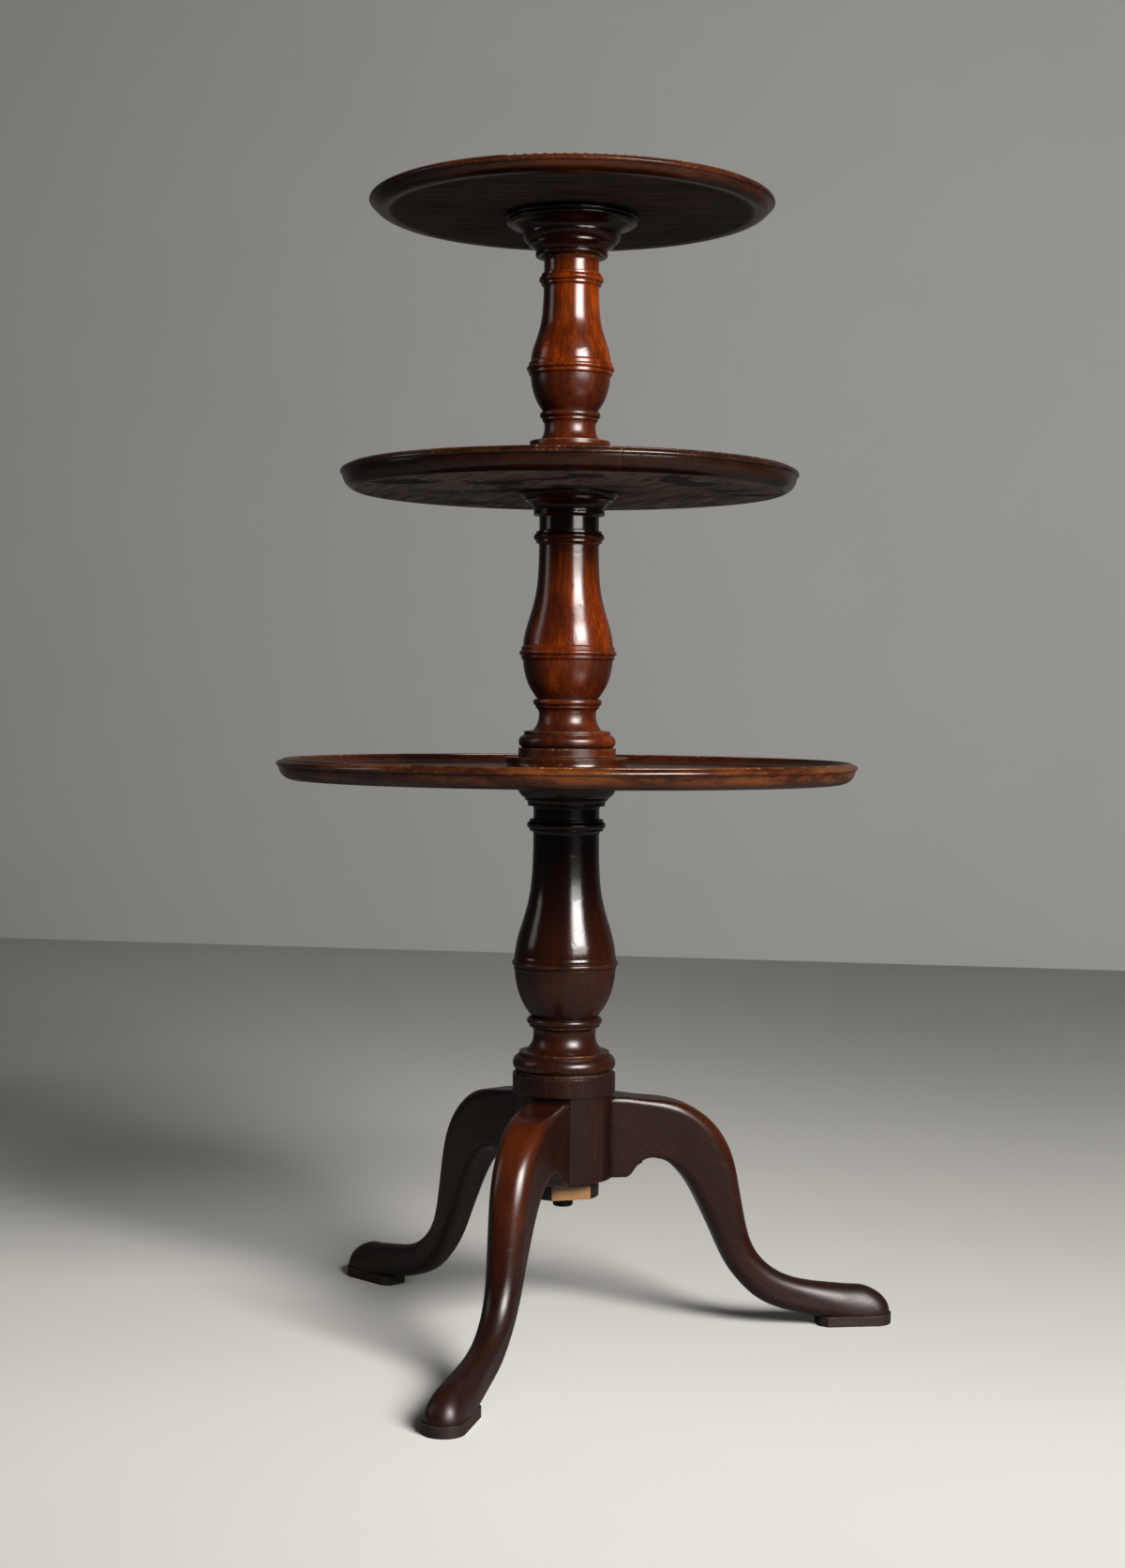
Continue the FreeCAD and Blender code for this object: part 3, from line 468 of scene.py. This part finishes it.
def make_grain_group():
    """Mahogany in the solid: growth rings round the heart, ribbon stripes, fibres and open pores."""
    bench, source, target = new_group("Mahogany Grain", [
        ("Vector", "Vector", None),
        ("Light", "Color", (0.4, 0.1, 0.02, 1.0)),
        ("Middle", "Color", (0.2, 0.04, 0.01, 1.0)),
        ("Dark", "Color", (0.05, 0.01, 0.005, 1.0)),
        ("Ring Spacing", "Float", 0.004),
        ("Figure", "Float", 1.0),
        ("Pores", "Float", 0.6),
    ], [("Color", "Color"), ("Height", "Float"), ("Pores", "Float"), ("Tone", "Float")])
    vector = source["Vector"]
    drift = bench.vector_calc("SUBTRACT", bench.noise(vector, DRIFT, output="Color"), (0.5, 0.5, 0.5))
    bent = bench.vector_calc("ADD", vector, bench.stretch(drift, DRIFT_REACH, DRIFT_REACH, 0.0))

    ring_scale = bench.calc("DIVIDE", math.pi / 10.0, source["Ring Spacing"])
    rings = bench.add("TexWave", {
        "Vector": bent, "Scale": ring_scale, "Distortion": 2.2, "Detail": 2.0, "Detail Scale": 0.35,
    }, wave_type="RINGS", rings_direction="Z", wave_profile="SAW").outputs["Fac"]
    ribbon = bench.noise(bent, RIBBONS, 3.0, 0.6)
    patches = bench.noise(vector, FIGURE_PATCHES, 3.0, 0.55)
    fibres = bench.noise(bent, FIBRES, 2.0, 0.6)
    flecks = bench.band(bench.noise(bent, FLECKS, 1.0), 0.64, 0.72)
    pores = bench.calc("MAXIMUM", bench.band(bench.cells(bent, PORES), 0.42, 0.16), flecks)

    tone = bench.add_up((ribbon, 0.34), (patches, 0.40), (fibres, 0.26), (rings, 0.04))
    tone = bench.calc("SUBTRACT", tone, TONE_MIDDLE)
    tone = bench.calc("ADD", bench.times(tone, source["Figure"], TONE_CONTRAST), 0.5)
    colour = bench.mix(bench.band(tone, 0.05, 0.55), source["Dark"], source["Middle"])
    colour = bench.mix(bench.band(tone, 0.45, 0.95), colour, source["Light"])
    pore_share = bench.times(pores, source["Pores"])
    colour = bench.mix(pore_share, colour, source["Dark"])
    height = bench.add_up((fibres, 0.06), (pore_share, -0.2))
    bench.feed(target["Color"], colour)
    bench.feed(target["Height"], height)
    bench.feed(target["Pores"], pore_share)
    bench.feed(target["Tone"], tone)
    return bench.tree


def make_wear_group():
    """Polish that is rubbed through on convex edges, in patches, with small chips."""
    bench, source, target = new_group("Edge Wear", [
        ("Vector", "Vector", None),
        ("Reach", "Float", 0.002),
        ("Amount", "Float", 0.7),
    ], [("Wear", "Float"), ("Chips", "Float")])
    inner = bench.openness({"Distance": source["Reach"]}, inside=True, only_local=True)
    edge = bench.band(inner, 0.86, 0.45)
    patches = bench.noise(source["Vector"], WEAR_PATCHES, 3.0, 0.6)
    specks = bench.noise(source["Vector"], WEAR_SPECKS, 2.0, 0.6)
    bench.feed(target["Wear"], bench.times(edge, bench.band(patches, 0.36, 0.60), source["Amount"]))
    chips = bench.times(edge, bench.band(specks, 0.585, 0.64), bench.band(patches, 0.46, 0.58))
    bench.feed(target["Chips"], bench.times(chips, source["Amount"]))
    return bench.tree


def make_grime_and_shade_group():
    """Old wax and dirt in the corners that a cloth doesn't reach, with painted shade there too, and
    painted shade under whatever stands over a surface.
    """
    bench, source, target = new_group("Settled Grime", [
        ("Vector", "Vector", None),
        ("Reach", "Float", 0.006),
        ("Shelter Reach", "Float", 0.10),
    ], [("Grime And Shade", "Float"), ("Painted Shade", "Float")])
    # Corners: old wax and dirt, and painted shade where little light reaches.
    hollow = bench.band(bench.openness({"Distance": source["Reach"]}), 0.86, 0.36)
    patches = bench.noise(source["Vector"], GRIME_AND_SHADE_PATCHES)
    bench.feed(target["Grime And Shade"], bench.times(hollow, bench.band(patches, 0.20, 0.55, 0.5, 1.0)))
    # Painted shade on what a tray or other piece stands over, as on the necks under the trays.
    normal = bench.add("NewGeometry").outputs["Normal"]
    raised = bench.vector_calc("NORMALIZE", bench.vector_calc("ADD", normal, UP * PAINTED_SHADE_FACING))
    above = bench.openness({"Distance": source["Shelter Reach"], "Normal": raised})
    bench.feed(target["Painted Shade"], bench.band(above, 0.66, 0.30))
    return bench.tree


def make_marks_group():
    """Marks of use: dents, fine scratches and the slow waves of a surface polished by hand."""
    bench, source, target = new_group("Marks Of Use", [
        ("Vector", "Vector", None),
        ("Amount", "Float", 1.0),
    ], [("Height", "Float"), ("Scratches", "Float"), ("Haze", "Float")])
    vector = source["Vector"]
    waves = bench.noise(vector, POLISH_WAVES, 1.0)
    dents = bench.band(bench.noise(vector, DENTS, 0.0), 0.68, 0.80)
    where = bench.band(bench.noise(vector, SCRATCH_PATCHES, 1.0), 0.60, 0.70)
    lines = bench.cells(vector, SCRATCHES, feature="DISTANCE_TO_EDGE")
    scratches = bench.times(bench.band(lines, SCRATCH_WIDTH, 0.0), where, SCRATCH_DEPTH)
    haze = bench.noise(vector, HAZE, 4.0, 0.62)
    height = bench.add_up((waves, 1.6), (dents, -0.4), (scratches, -0.5))
    bench.feed(target["Height"], bench.times(height, source["Amount"]))
    bench.feed(target["Scratches"], bench.times(scratches, source["Amount"]))
    bench.feed(target["Haze"], haze)
    return bench.tree


def make_underside_group():
    """Where a tray was left without polish: flat below, inside the moulded rim."""
    bench, source, target = new_group("Dry Underside", [
        ("Flat Radius", "Float", 0.2),
        ("Color", "Color", (0.06, 0.045, 0.035, 1.0)),
        ("Tone", "Float", 0.5),
        ("Vector", "Vector", None),
        ("Dust", "Float", 0.5),
    ], [("Mask", "Float"), ("Color", "Color")])
    coordinates = bench.add("TexCoord")
    place = coordinates.outputs["Object"]
    down = bench.upright(coordinates.outputs["Normal"])
    inside = bench.calc("SUBTRACT", source["Flat Radius"], bench.off_axis(place))
    mask = bench.times(bench.band(down, *UNDER_FACING), bench.band(inside, *UNDER_EDGE))
    streaks = bench.noise(source["Vector"], DRY_STREAKS, 3.0, 0.7)
    blots = bench.noise(place, DRY_BLOTS, 4.0, 0.65)
    clouds = bench.noise(place, DRY_CLOUDS)
    # Pale dusting, partly a painted reflection of the pale wall.
    dust_and_sheen = bench.times(
        bench.band(streaks, 0.36, 0.62, 0.25, 1.0), bench.band(clouds, 0.38, 0.58, 0.3, 1.0),
        source["Dust"])
    lines = bench.add_up((source["Tone"], 0.5), (streaks, 1.0))
    grain = bench.mix(bench.band(lines, 0.55, 1.00), DRY_DARK_GRAIN, DRY_PALE_GRAIN)
    colour = bench.mix(1.0, source["Color"], grain, "MULTIPLY")
    colour = bench.mix(dust_and_sheen, colour, DRY_DUST_AND_SHEEN)
    darker = bench.times(bench.band(blots, 0.51, 0.57), bench.band(clouds, 0.42, 0.54))
    darker = bench.times(darker, source["Dust"], DAMP_SHARE)
    colour = bench.mix(darker, colour, DRY_DAMP)
    bench.feed(target["Mask"], mask)
    bench.feed(target["Color"], colour)
    return bench.tree


EFFECTS = {
    "Mahogany Grain": make_grain_group,
    "Edge Wear": make_wear_group,
    "Settled Grime": make_grime_and_shade_group,
    "Marks Of Use": make_marks_group,
    "Dry Underside": make_underside_group,
}


def effect(name):
    """The node group of one effect, made when it is first wanted."""
    return bpy.data.node_groups.get(name) or EFFECTS[name]()


class PolishedWood:
    """A polished wooden surface, built up in a maker's order: grain, wear, dirt and painted shade, marks
    and polish.
    """

    def __init__(self, name, along, heart, finish, figure=1.0, pores=0.55, painted_shade=0.10):
        self.material, self.bench = new_material(name)
        bench = self.bench
        self.place = bench.add("TexCoord").outputs["Object"]
        self.vector = bench.place(along, *heart)
        self.grain = bench.group(
            effect("Mahogany Grain"), Vector=self.vector, Light=finish.light, Middle=finish.middle,
            Dark=finish.dark, Ring_Spacing=finish.ring_spacing, Figure=figure, Pores=pores)
        self.wear = bench.group(
            effect("Edge Wear"), Vector=self.place, Reach=WEAR_REACH, Amount=finish.wear)
        settled = bench.group(effect("Settled Grime"), Vector=self.place, Shelter_Reach=painted_shade)
        self.grime_and_shade = settled["Grime And Shade"]
        self.painted_shade = settled["Painted Shade"]
        self.marks = bench.group(effect("Marks Of Use"), Vector=self.place)
        self.colour = self.grain["Color"]
        self.roughness = finish.roughness
        self.scuffs = 0.0
        self.relief = bench.add_up((self.grain["Height"], GRAIN_HEIGHT), (self.marks["Height"], 1.0))

    def tone_down(self, mask, colour):
        self.colour = self.bench.mix(mask, self.colour, colour)

    def rub_edges(self, worn, bare):
        """Lighter polish where hands have rubbed, and bare wood in the chips."""
        bench = self.bench
        rubbed = bench.mix(WORN_SHARE, self.colour, worn)
        self.colour = bench.mix(self.wear["Wear"], self.colour, rubbed)
        self.colour = bench.mix(self.wear["Chips"], self.colour, bare)
        self.relief = bench.add_up((self.relief, 1.0), (self.wear["Chips"], CHIP_HEIGHT))

    def close(self, arris=ARRIS, dry=None):
        """Joins everything to the shader and gives the material; dry is where the polish is missing."""
        bench = self.bench
        # Painted shade under the trays, then dirt with painted shade in corners.
        self.tone_down(bench.times(self.painted_shade, PAINTED_SHADE_SHARE), PAINTED_SHADE)
        self.tone_down(bench.times(self.grime_and_shade, GRIME_AND_SHADE_SHARE), GRIME_AND_SHADE)
        blur = bench.add_up(
            (self.marks["Haze"], BLUR["haze"]), (self.grime_and_shade, BLUR["grime_and_shade"]),
            (self.wear["Chips"], BLUR["chips"]), (self.marks["Scratches"], BLUR["scratches"]),
            (self.grain["Pores"], BLUR["pores"]), (self.scuffs, 1.0))
        roughness = bench.calc("ADD", blur, self.roughness - BLUR_MEAN)
        if dry is not None:
            roughness = bench.add_up((roughness, 1.0), (dry, BLUR_DRY))
        soft = bench.add("Bevel", {"Radius": arris}, samples=SAMPLES).outputs[0]
        bump = bench.add(
            "Bump", {"Height": self.relief, "Distance": RELIEF, "Strength": 1.0, "Normal": soft})
        shader = bench.add("BsdfPrincipled", {
            "Base Color": self.colour, "Roughness": roughness, "Normal": bump.outputs[0],
            "IOR": POLISH_IOR,
        })
        bench.show(shader.outputs[0])
        return self.material


def dress(piece, material):
    """Gives a piece from the frame its material."""
    if not piece.material_slots:
        piece.data.materials.append(material)
    for slot in piece.material_slots:
        slot.material = material


def flat_direction(angle):
    return Vector((math.cos(math.radians(angle)), math.sin(math.radians(angle)), 0.0))


def camera_turn(further=0.0):
    """The turn round the upright axis from straight in front to the camera, and further."""
    return Matrix.Rotation(math.radians(CAMERA_AZIMUTH) + further, 3, "Z")


def next_heart(heart, step, number):
    """The heart for one of several like pieces, cut so many steps further over."""
    return tuple(start + further * number for start, further in zip(heart, step))


def tray_of(board):
    """The name of the tray that a board belongs to."""
    return board.split("_tray")[0] + "_tray"


def tray_radius(board):
    """How far the tray that a board belongs to reaches from the axis."""
    boards = [name for name in TRAY_BOARDS if tray_of(name) == tray_of(board)]
    return max(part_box(name)[1].x for name in boards)


def outward(node):
    """The level direction from the axis to the middle of a piece of the frame."""
    low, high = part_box(node)
    return ((low + high) / 2.0 * Vector((1.0, 1.0, 0.0))).normalized()


class FinishPillar(bpy.types.Operator):
    """Polish the three columns and the bearer, with the grain upright"""

    bl_idname = "dumb_waiter.finish_pillar"
    bl_label = "Finish Pillar"

    def execute(self, context):
        finish = context.scene.dumb_waiter.pillar
        for number, (name, piece) in enumerate(PILLAR.items()):
            heart = Matrix.Rotation(PILLAR_HEART_TURN * number, 2) @ Vector(PILLAR_HEART)
            wood = PolishedWood(
                name + "_polish", UP, heart, finish, figure=0.75, painted_shade=piece["painted_shade"])
            self.stain_and_shade_clouds(wood, piece["stain"], finish.stain)
            self.darken_bulb(wood, piece, finish.stain)
            wood.rub_edges(finish.worn, finish.bare)
            dress(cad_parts[name], wood.close())
        return {"FINISHED"}

    def stain_and_shade_clouds(self, wood, stain, colour):
        """The stain, with the painted shade that is part of it, lies in clouds."""
        clouds = wood.bench.noise(wood.vector, STAIN_CLOUDS)
        most = min(stain + STAIN_SPREAD, STAIN_MOST)
        wood.tone_down(wood.bench.band(clouds, *STAIN_EDGE, stain, most), colour)

    def darken_bulb(self, wood, piece, colour):
        """Everything below the ring is made darker and a little scuffed."""
        bench = wood.bench
        bulb = bench.band(bench.upright(wood.place), piece["ring"], piece["ring"] - BULB_EDGE)
        wood.tone_down(bench.times(bulb, piece["bulb_darkening"]), colour)
        wood.scuffs = bench.times(bulb, BULB_SCUFFS)


class FinishTrays(bpy.types.Operator):
    """Polish the trays above and on their rims, and leave them dry below"""

    bl_idname = "dumb_waiter.finish_trays"
    bl_label = "Finish Trays"

    def execute(self, context):
        finish = context.scene.dumb_waiter.trays
        for name, board in TRAY_BOARDS.items():
            along = flat_direction(board["angle"])
            along.z = math.sin(math.radians(HEART_TILT))
            heart = (board["aside"], board["heart"])
            wood = PolishedWood(name + "_polish", along, heart, finish, figure=0.75)
            wood.tone_down(board["stain"], finish.stain)
            self.rub_rim(wood, tray_radius(name), board)
            wood.rub_edges(board["worn"], finish.bare)
            if tray_of(name) != name:
                self.draw_joint(wood)
            flat_radius = tray_radius(name) - TRAY_THUMB[tray_of(name)]
            below = wood.bench.group(
                effect("Dry Underside"), Flat_Radius=flat_radius, Color=board["below"],
                Tone=wood.grain["Tone"], Vector=wood.vector, Dust=board["dust_and_sheen"])
            wood.tone_down(below["Mask"], below["Color"])
            dress(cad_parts[name], wood.close(dry=below["Mask"]))
        return {"FINISHED"}

    def rub_rim(self, wood, radius, board):
        """The polish is thin round the outside of the rim, in patches."""
        bench = wood.bench
        patches = bench.noise(wood.place, RIM_PATCHES, 4.0, 0.65)
        rubbed = bench.times(
            bench.band(bench.off_axis(wood.place), radius - RIM_RUB, radius - RIM_THIN),
            bench.band(patches, *RIM_EDGE), board["rim"])
        wood.tone_down(rubbed, board["worn"])

    def draw_joint(self, wood):
        """The dark line of the glued joint between the two boards."""
        bench = wood.bench
        across = flat_direction(BOARD_JOINT_ANGLE)
        off = bench.calc("SUBTRACT", bench.dot(wood.place, across), BOARD_JOINT_OFFSET)
        line = bench.band(bench.calc("ABSOLUTE", off), BOARD_JOINT_WIDTH, BOARD_JOINT_CORE)
        wood.tone_down(bench.times(line, GLUE_SHARE), GLUE)
        wood.relief = bench.add_up((wood.relief, 1.0), (line, JOINT_HEIGHT))


class FinishTripod(bpy.types.Operator):
    """Stain and polish the drum and the three legs, rubbed on the knees and with painted light there"""

    bl_idname = "dumb_waiter.finish_tripod"
    bl_label = "Finish Tripod"

    def execute(self, context):
        finish = context.scene.dumb_waiter.tripod
        drum = PolishedWood("tripod_drum_polish", UP, DRUM_HEART, finish, figure=0.7)
        drum.rub_edges(finish.drum_worn, finish.bare)
        dress(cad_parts["tripod_drum"], drum.close())
        for number, (name, rubbed) in enumerate(LEGS.items()):
            along = outward(name) * math.cos(math.radians(LEG_GRAIN_SLOPE))
            along.z = -math.sin(math.radians(LEG_GRAIN_SLOPE))
            heart = next_heart(LEG_HEART, LEG_HEART_STEP, number)
            wood = PolishedWood(name + "_polish", along, heart, finish, figure=0.6)
            self.lighten_knee(wood, outward(name), finish.rubbed, rubbed)
            wood.rub_edges(finish.leg_worn, finish.bare)
            foot = wood.bench.band(wood.bench.upright(wood.place), FOOT_TOP, FOOT_SCUFFED)
            wood.scuffs = wood.bench.add_up((foot, FOOT_SCUFFS), (wood.wear["Wear"], WORN_SCUFFS))
            dress(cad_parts[name], wood.close(arris=LEG_ARRIS))
        return {"FINISHED"}

    def lighten_knee(self, wood, out, colour, amount):
        """The knee is lightened, partly worn through the stain and partly painted light, most where the
        leg faces outward and up.
        """
        bench = wood.bench
        off = bench.distance(wood.place, out * KNEE_REACH + UP * KNEE_HEIGHT)
        most_lit = (out + UP * KNEE_LIFT).normalized()
        facing = bench.dot(bench.add("TexCoord").outputs["Normal"], most_lit)
        patches = bench.noise(wood.vector, KNEE_PATCHES, 3.0)
        rubbed = bench.times(
            bench.band(off, KNEE_FADE, 0.0), bench.band(facing, *KNEE_FACING),
            bench.band(patches, 0.15, 0.75, 0.35, 1.0))
        wood.tone_down(bench.times(rubbed, amount), colour)


class FinishFootBlocks(bpy.types.Operator):
    """Stain the blocks under the three feet"""

    bl_idname = "dumb_waiter.finish_foot_blocks"
    bl_label = "Finish Foot Blocks"

    def execute(self, context):
        finish = context.scene.dumb_waiter.tripod
        for number, name in enumerate(FOOT_BLOCKS):
            heart = next_heart(BLOCK_HEART, BLOCK_HEART_STEP, number)
            wood = PolishedWood(name + "_stain", outward(name), heart, finish, pores=0.9)
            wood.tone_down(BLOCK_STAIN, finish.block)
            wood.rub_edges(finish.block_worn, finish.block_bare)
            wood.roughness = finish.block_roughness
            dress(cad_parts[name], wood.close())
        return {"FINISHED"}


class FinishFixings(bpy.types.Operator):
    """Finish the wooden disc and the iron screw under the drum"""

    bl_idname = "dumb_waiter.finish_fixings"
    bl_label = "Finish Fixings"

    def execute(self, context):
        finish = context.scene.dumb_waiter.tripod
        across = flat_direction(DISC_FLAT_ANGLE)
        wood = PolishedWood(
            "retaining_disc_wood", UP.cross(across), DISC_HEART, finish, pores=0.9, painted_shade=0.003)
        wood.tone_down(DISC_STAIN, finish.disc)
        bench = wood.bench
        low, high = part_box("retaining_disc")
        top = low.z + DISC_FLAT_SHARE * (high.z - low.z)
        out = bench.dot(wood.place, across)
        planed = bench.times(
            bench.band(out, DISC_FLAT_OFFSET - DISC_FLAT_EDGE, DISC_FLAT_OFFSET),
            bench.band(bench.upright(wood.place), top + DISC_FLAT_TOP_EDGE, top))
        wood.tone_down(planed, finish.planed)
        wood.roughness = finish.disc_roughness
        dress(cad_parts["retaining_disc"], wood.close())
        dress(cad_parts["retaining_screw"], self.iron(finish))
        return {"FINISHED"}

    def iron(self, finish):
        """Dark iron with spots of rust."""
        material, bench = new_material("screw_iron")
        rust = bench.noise(bench.add("TexCoord").outputs["Object"], RUST, 4.0, 0.65)
        colour = bench.mix(bench.band(rust, *RUST_EDGE), finish.iron, finish.rust)
        bump = bench.add("Bump", {"Height": rust, "Distance": RUST_RELIEF})
        shader = bench.add("BsdfPrincipled", {
            "Base Color": colour, "Metallic": bench.band(rust, *reversed(RUST_EDGE), 0.0, 0.9),
            "Roughness": bench.band(rust, 0.4, 0.6, 0.42, 0.75), "Normal": bump.outputs[0],
        })
        bench.show(shader.outputs[0])
        return material


class LayStage(bpy.types.Operator):
    """Lay the floor, put up the wall and set the lights and the camera"""

    bl_idname = "dumb_waiter.lay_stage"
    bl_label = "Lay Stage"

    def execute(self, context):
        studio = context.scene.dumb_waiter.studio
        self.floor(studio)
        self.wall(studio)
        self.key_lights(studio)
        self.air(context.scene, studio)
        self.camera(context.scene)
        context.scene.view_settings.view_transform = "Standard"
        return {"FINISHED"}

    def panel(self, name, corners, material):
        """One flat face of the stage."""
        mesh = bpy.data.meshes.new(name)
        mesh.from_pydata(corners, [], [(0, 1, 2, 3)])
        mesh.materials.append(material)
        piece = bpy.data.objects.new(name, mesh)
        bpy.context.scene.collection.objects.link(piece)

    def seen(self, bench, mirrored):
        """All of what is looked at straight, and a share of what the polish mirrors."""
        rays = bench.add("LightPath").outputs
        return bench.add_up(
            (rays["Is Camera Ray"], 1.0), (rays["Is Glossy Ray"], mirrored),
            (rays["Is Transmission Ray"], mirrored))

    def plain_material(self, name, colour, roughness, lift, mirrored, fade=1.0, side_fade=1.0):
        """A plain surface; lift makes it paler to look at, and fade paints a pool of light round the
        object, darker far from it.
        """
        material, bench = new_material(name)
        place = bench.add("TexCoord").outputs["Object"]
        cloud = bench.noise(place, STAGE_CLOUDS, 5.0, 0.6)
        turn = camera_turn()
        reach = bench.distance(place, turn @ Vector(PAINTED_LIGHT_MIDDLE))
        ahead = bench.dot(place, turn @ Vector((0.0, -1.0, 0.0)))
        right = bench.dot(place, turn @ Vector((1.0, 0.0, 0.0)))
        # Painted light: palest near the object, darker further off, in front and to the right.
        shade = bench.times(
            bench.band(cloud, 0.3, 0.7, 0.985, 1.01), bench.band(reach, *PAINTED_LIGHT_REACH, 1.0, fade),
            bench.band(ahead, *PAINTED_FRONT_REACH, 1.0, PAINTED_FRONT_FADE),
            bench.band(right, *PAINTED_SIDE_REACH, 1.0, side_fade))
        shade = bench.times(shade, bench.add_up((self.seen(bench, mirrored), lift), (1.0, 1.0)))
        colour = bench.mix(1.0, colour, shade, "MULTIPLY")
        shader = bench.add("BsdfPrincipled", {
            "Base Color": colour, "Roughness": roughness, "Specular IOR Level": STAGE_GLOSS,
        })
        return material, bench, shader.outputs[0]

    def close_panel(self, bench, shader, faded):
        """A panel is only there for what looks at its front; other views pass through its back."""
        back = bench.add("NewGeometry").outputs["Backfacing"]
        clear = bench.add("BsdfTransparent").outputs[0]
        hidden = bench.calc("MAXIMUM", back, faded)
        bench.show(bench.add("MixShader", {0: hidden, 1: shader, 2: clear}).outputs[0])

    def floor(self, studio):
        material, bench, shader = self.plain_material(
            "studio_floor", studio.floor, FLOOR_ROUGHNESS, studio.floor_lift, studio.mirrored,
            studio.floor_painted_falloff, PAINTED_SIDE_FADE)
        place = bench.add("TexCoord").outputs["Object"]
        reach = bench.distance(place, camera_turn() @ Vector(FLOOR_MIDDLE))
        self.close_panel(bench, shader, bench.band(reach, *FLOOR_REACH))
        sides = ((-1.0, -1.0), (1.0, -1.0), (1.0, 1.0), (-1.0, 1.0))
        corners = [(x * FLOOR_HALF, y * FLOOR_HALF, 0.0) for x, y in sides]
        self.panel("studio_floor", corners, material)

    def wall(self, studio):
        material, bench, shader = self.plain_material(
            "studio_wall", studio.wall, WALL_ROUGHNESS, studio.wall_lift, studio.mirrored)
        self.close_panel(bench, shader, 0.0)
        turn = camera_turn(studio.wall_turn)
        outline = ((-WALL_HALF, 0.0), (WALL_HALF, 0.0), (WALL_HALF, WALL_TOP), (-WALL_HALF, WALL_TOP))
        corners = [turn @ Vector((x, studio.wall_distance, z)) for x, z in outline]
        self.panel("studio_wall", corners, material)

    def key_lights(self, studio):
        """One large soft light, and a wider and a narrow one that only the polish mirrors."""
        near = studio.key_distance - SHINE_SETBACK
        key = self.softbox("key_softbox", studio.key_turn, studio.key_distance, studio.key_height)
        shine = self.softbox("shine_softbox", studio.key_turn, near, SHINE_HEIGHT)
        side = self.softbox("side_softbox", math.radians(SIDE_TURN), SIDE_DISTANCE, SIDE_HEIGHT)
        self.switch_on(key, studio.lamp, (studio.key_width, studio.key_drop), studio.key_power)
        self.switch_on(shine, studio.lamp, SHINE_SIZE, studio.shine_power)
        self.switch_on(side, studio.lamp, SIDE_SIZE, studio.side_power)
        shine.visible_diffuse = False
        side.visible_diffuse = False

    def switch_on(self, lamp, colour, size, power):
        """Gives a soft light its shape, size, colour and power."""
        light = lamp.data
        light.shape = "RECTANGLE"
        light.size, light.size_y = size
        light.energy = power
        light.color = colour

    def softbox(self, name, turn, distance, height):
        """Stands a soft light so far round and away, facing the stand."""
        place = camera_turn(turn) @ Vector((0.0, -distance, height))
        lamp = bpy.data.objects.new(name, bpy.data.lights.new(name, "AREA"))
        lamp.location = place
        target = Vector((0.0, 0.0, KEY_AIM))
        lamp.rotation_euler = (target - place).to_track_quat("-Z", "Y").to_euler()
        lamp.visible_camera = False
        bpy.context.scene.collection.objects.link(lamp)
        return lamp

    def air(self, scene, studio):
        """The faint light from all round, and what is seen past the stage."""
        world = bpy.data.worlds.new("studio_air")
        world.use_nodes = True
        world.node_tree.nodes.clear()
        bench = NodeBench(world.node_tree)
        colour = bench.mix(self.seen(bench, studio.air_mirrored), studio.air, studio.backdrop)
        bench.show(bench.add("Background", {"Color": colour}).outputs[0], "OutputWorld")
        scene.world = world

    def camera(self, scene):
        camera = bpy.data.cameras.new("camera")
        camera.sensor_width = CAMERA_LONG_SIDE
        camera.lens = CAMERA_LENS
        camera.clip_start, camera.clip_end = CAMERA_SEES
        eye = bpy.data.objects.new("camera", camera)
        azimuth = math.radians(CAMERA_AZIMUTH)
        place = camera_turn() @ Vector((0.0, -CAMERA_DISTANCE, CAMERA_HEIGHT))
        eye.matrix_world = (
            Matrix.Translation(place)
            @ Matrix.Rotation(azimuth + math.radians(CAMERA_YAW), 4, "Z")
            @ Matrix.Rotation(math.radians(90.0 + CAMERA_PITCH), 4, "X")
            @ Matrix.Rotation(math.radians(CAMERA_ROLL), 4, "Z"))
        scene.collection.objects.link(eye)
        scene.camera = eye


class DumbWaiterPanel(bpy.types.Panel):
    """The maker's steps, in order"""

    bl_idname = "VIEW3D_PT_dumb_waiter"
    bl_label = "Dumb Waiter"
    bl_space_type = "VIEW_3D"
    bl_region_type = "UI"
    bl_category = "Dumb Waiter"

    def draw(self, context):
        for operator in OPERATORS:
            self.layout.operator(operator.bl_idname)


OPERATORS = (FinishPillar, FinishTrays, FinishTripod, FinishFootBlocks, FinishFixings, LayStage)
SETTINGS = (PillarSettings, TraySettings, TripodSettings, StudioSettings, DumbWaiterSettings)
CLASSES = SETTINGS + OPERATORS + (DumbWaiterPanel,)


def register():
    for cls in CLASSES:
        bpy.utils.register_class(cls)
    bpy.types.Scene.dumb_waiter = PointerProperty(type=DumbWaiterSettings)


def unregister():
    del bpy.types.Scene.dumb_waiter
    for cls in reversed(CLASSES):
        bpy.utils.unregister_class(cls)


def main():
    register()
    bpy.ops.dumb_waiter.finish_pillar()
    bpy.ops.dumb_waiter.finish_trays()
    bpy.ops.dumb_waiter.finish_tripod()
    bpy.ops.dumb_waiter.finish_foot_blocks()
    bpy.ops.dumb_waiter.finish_fixings()
    bpy.ops.dumb_waiter.lay_stage()


if __name__ == "__main__":
    main()
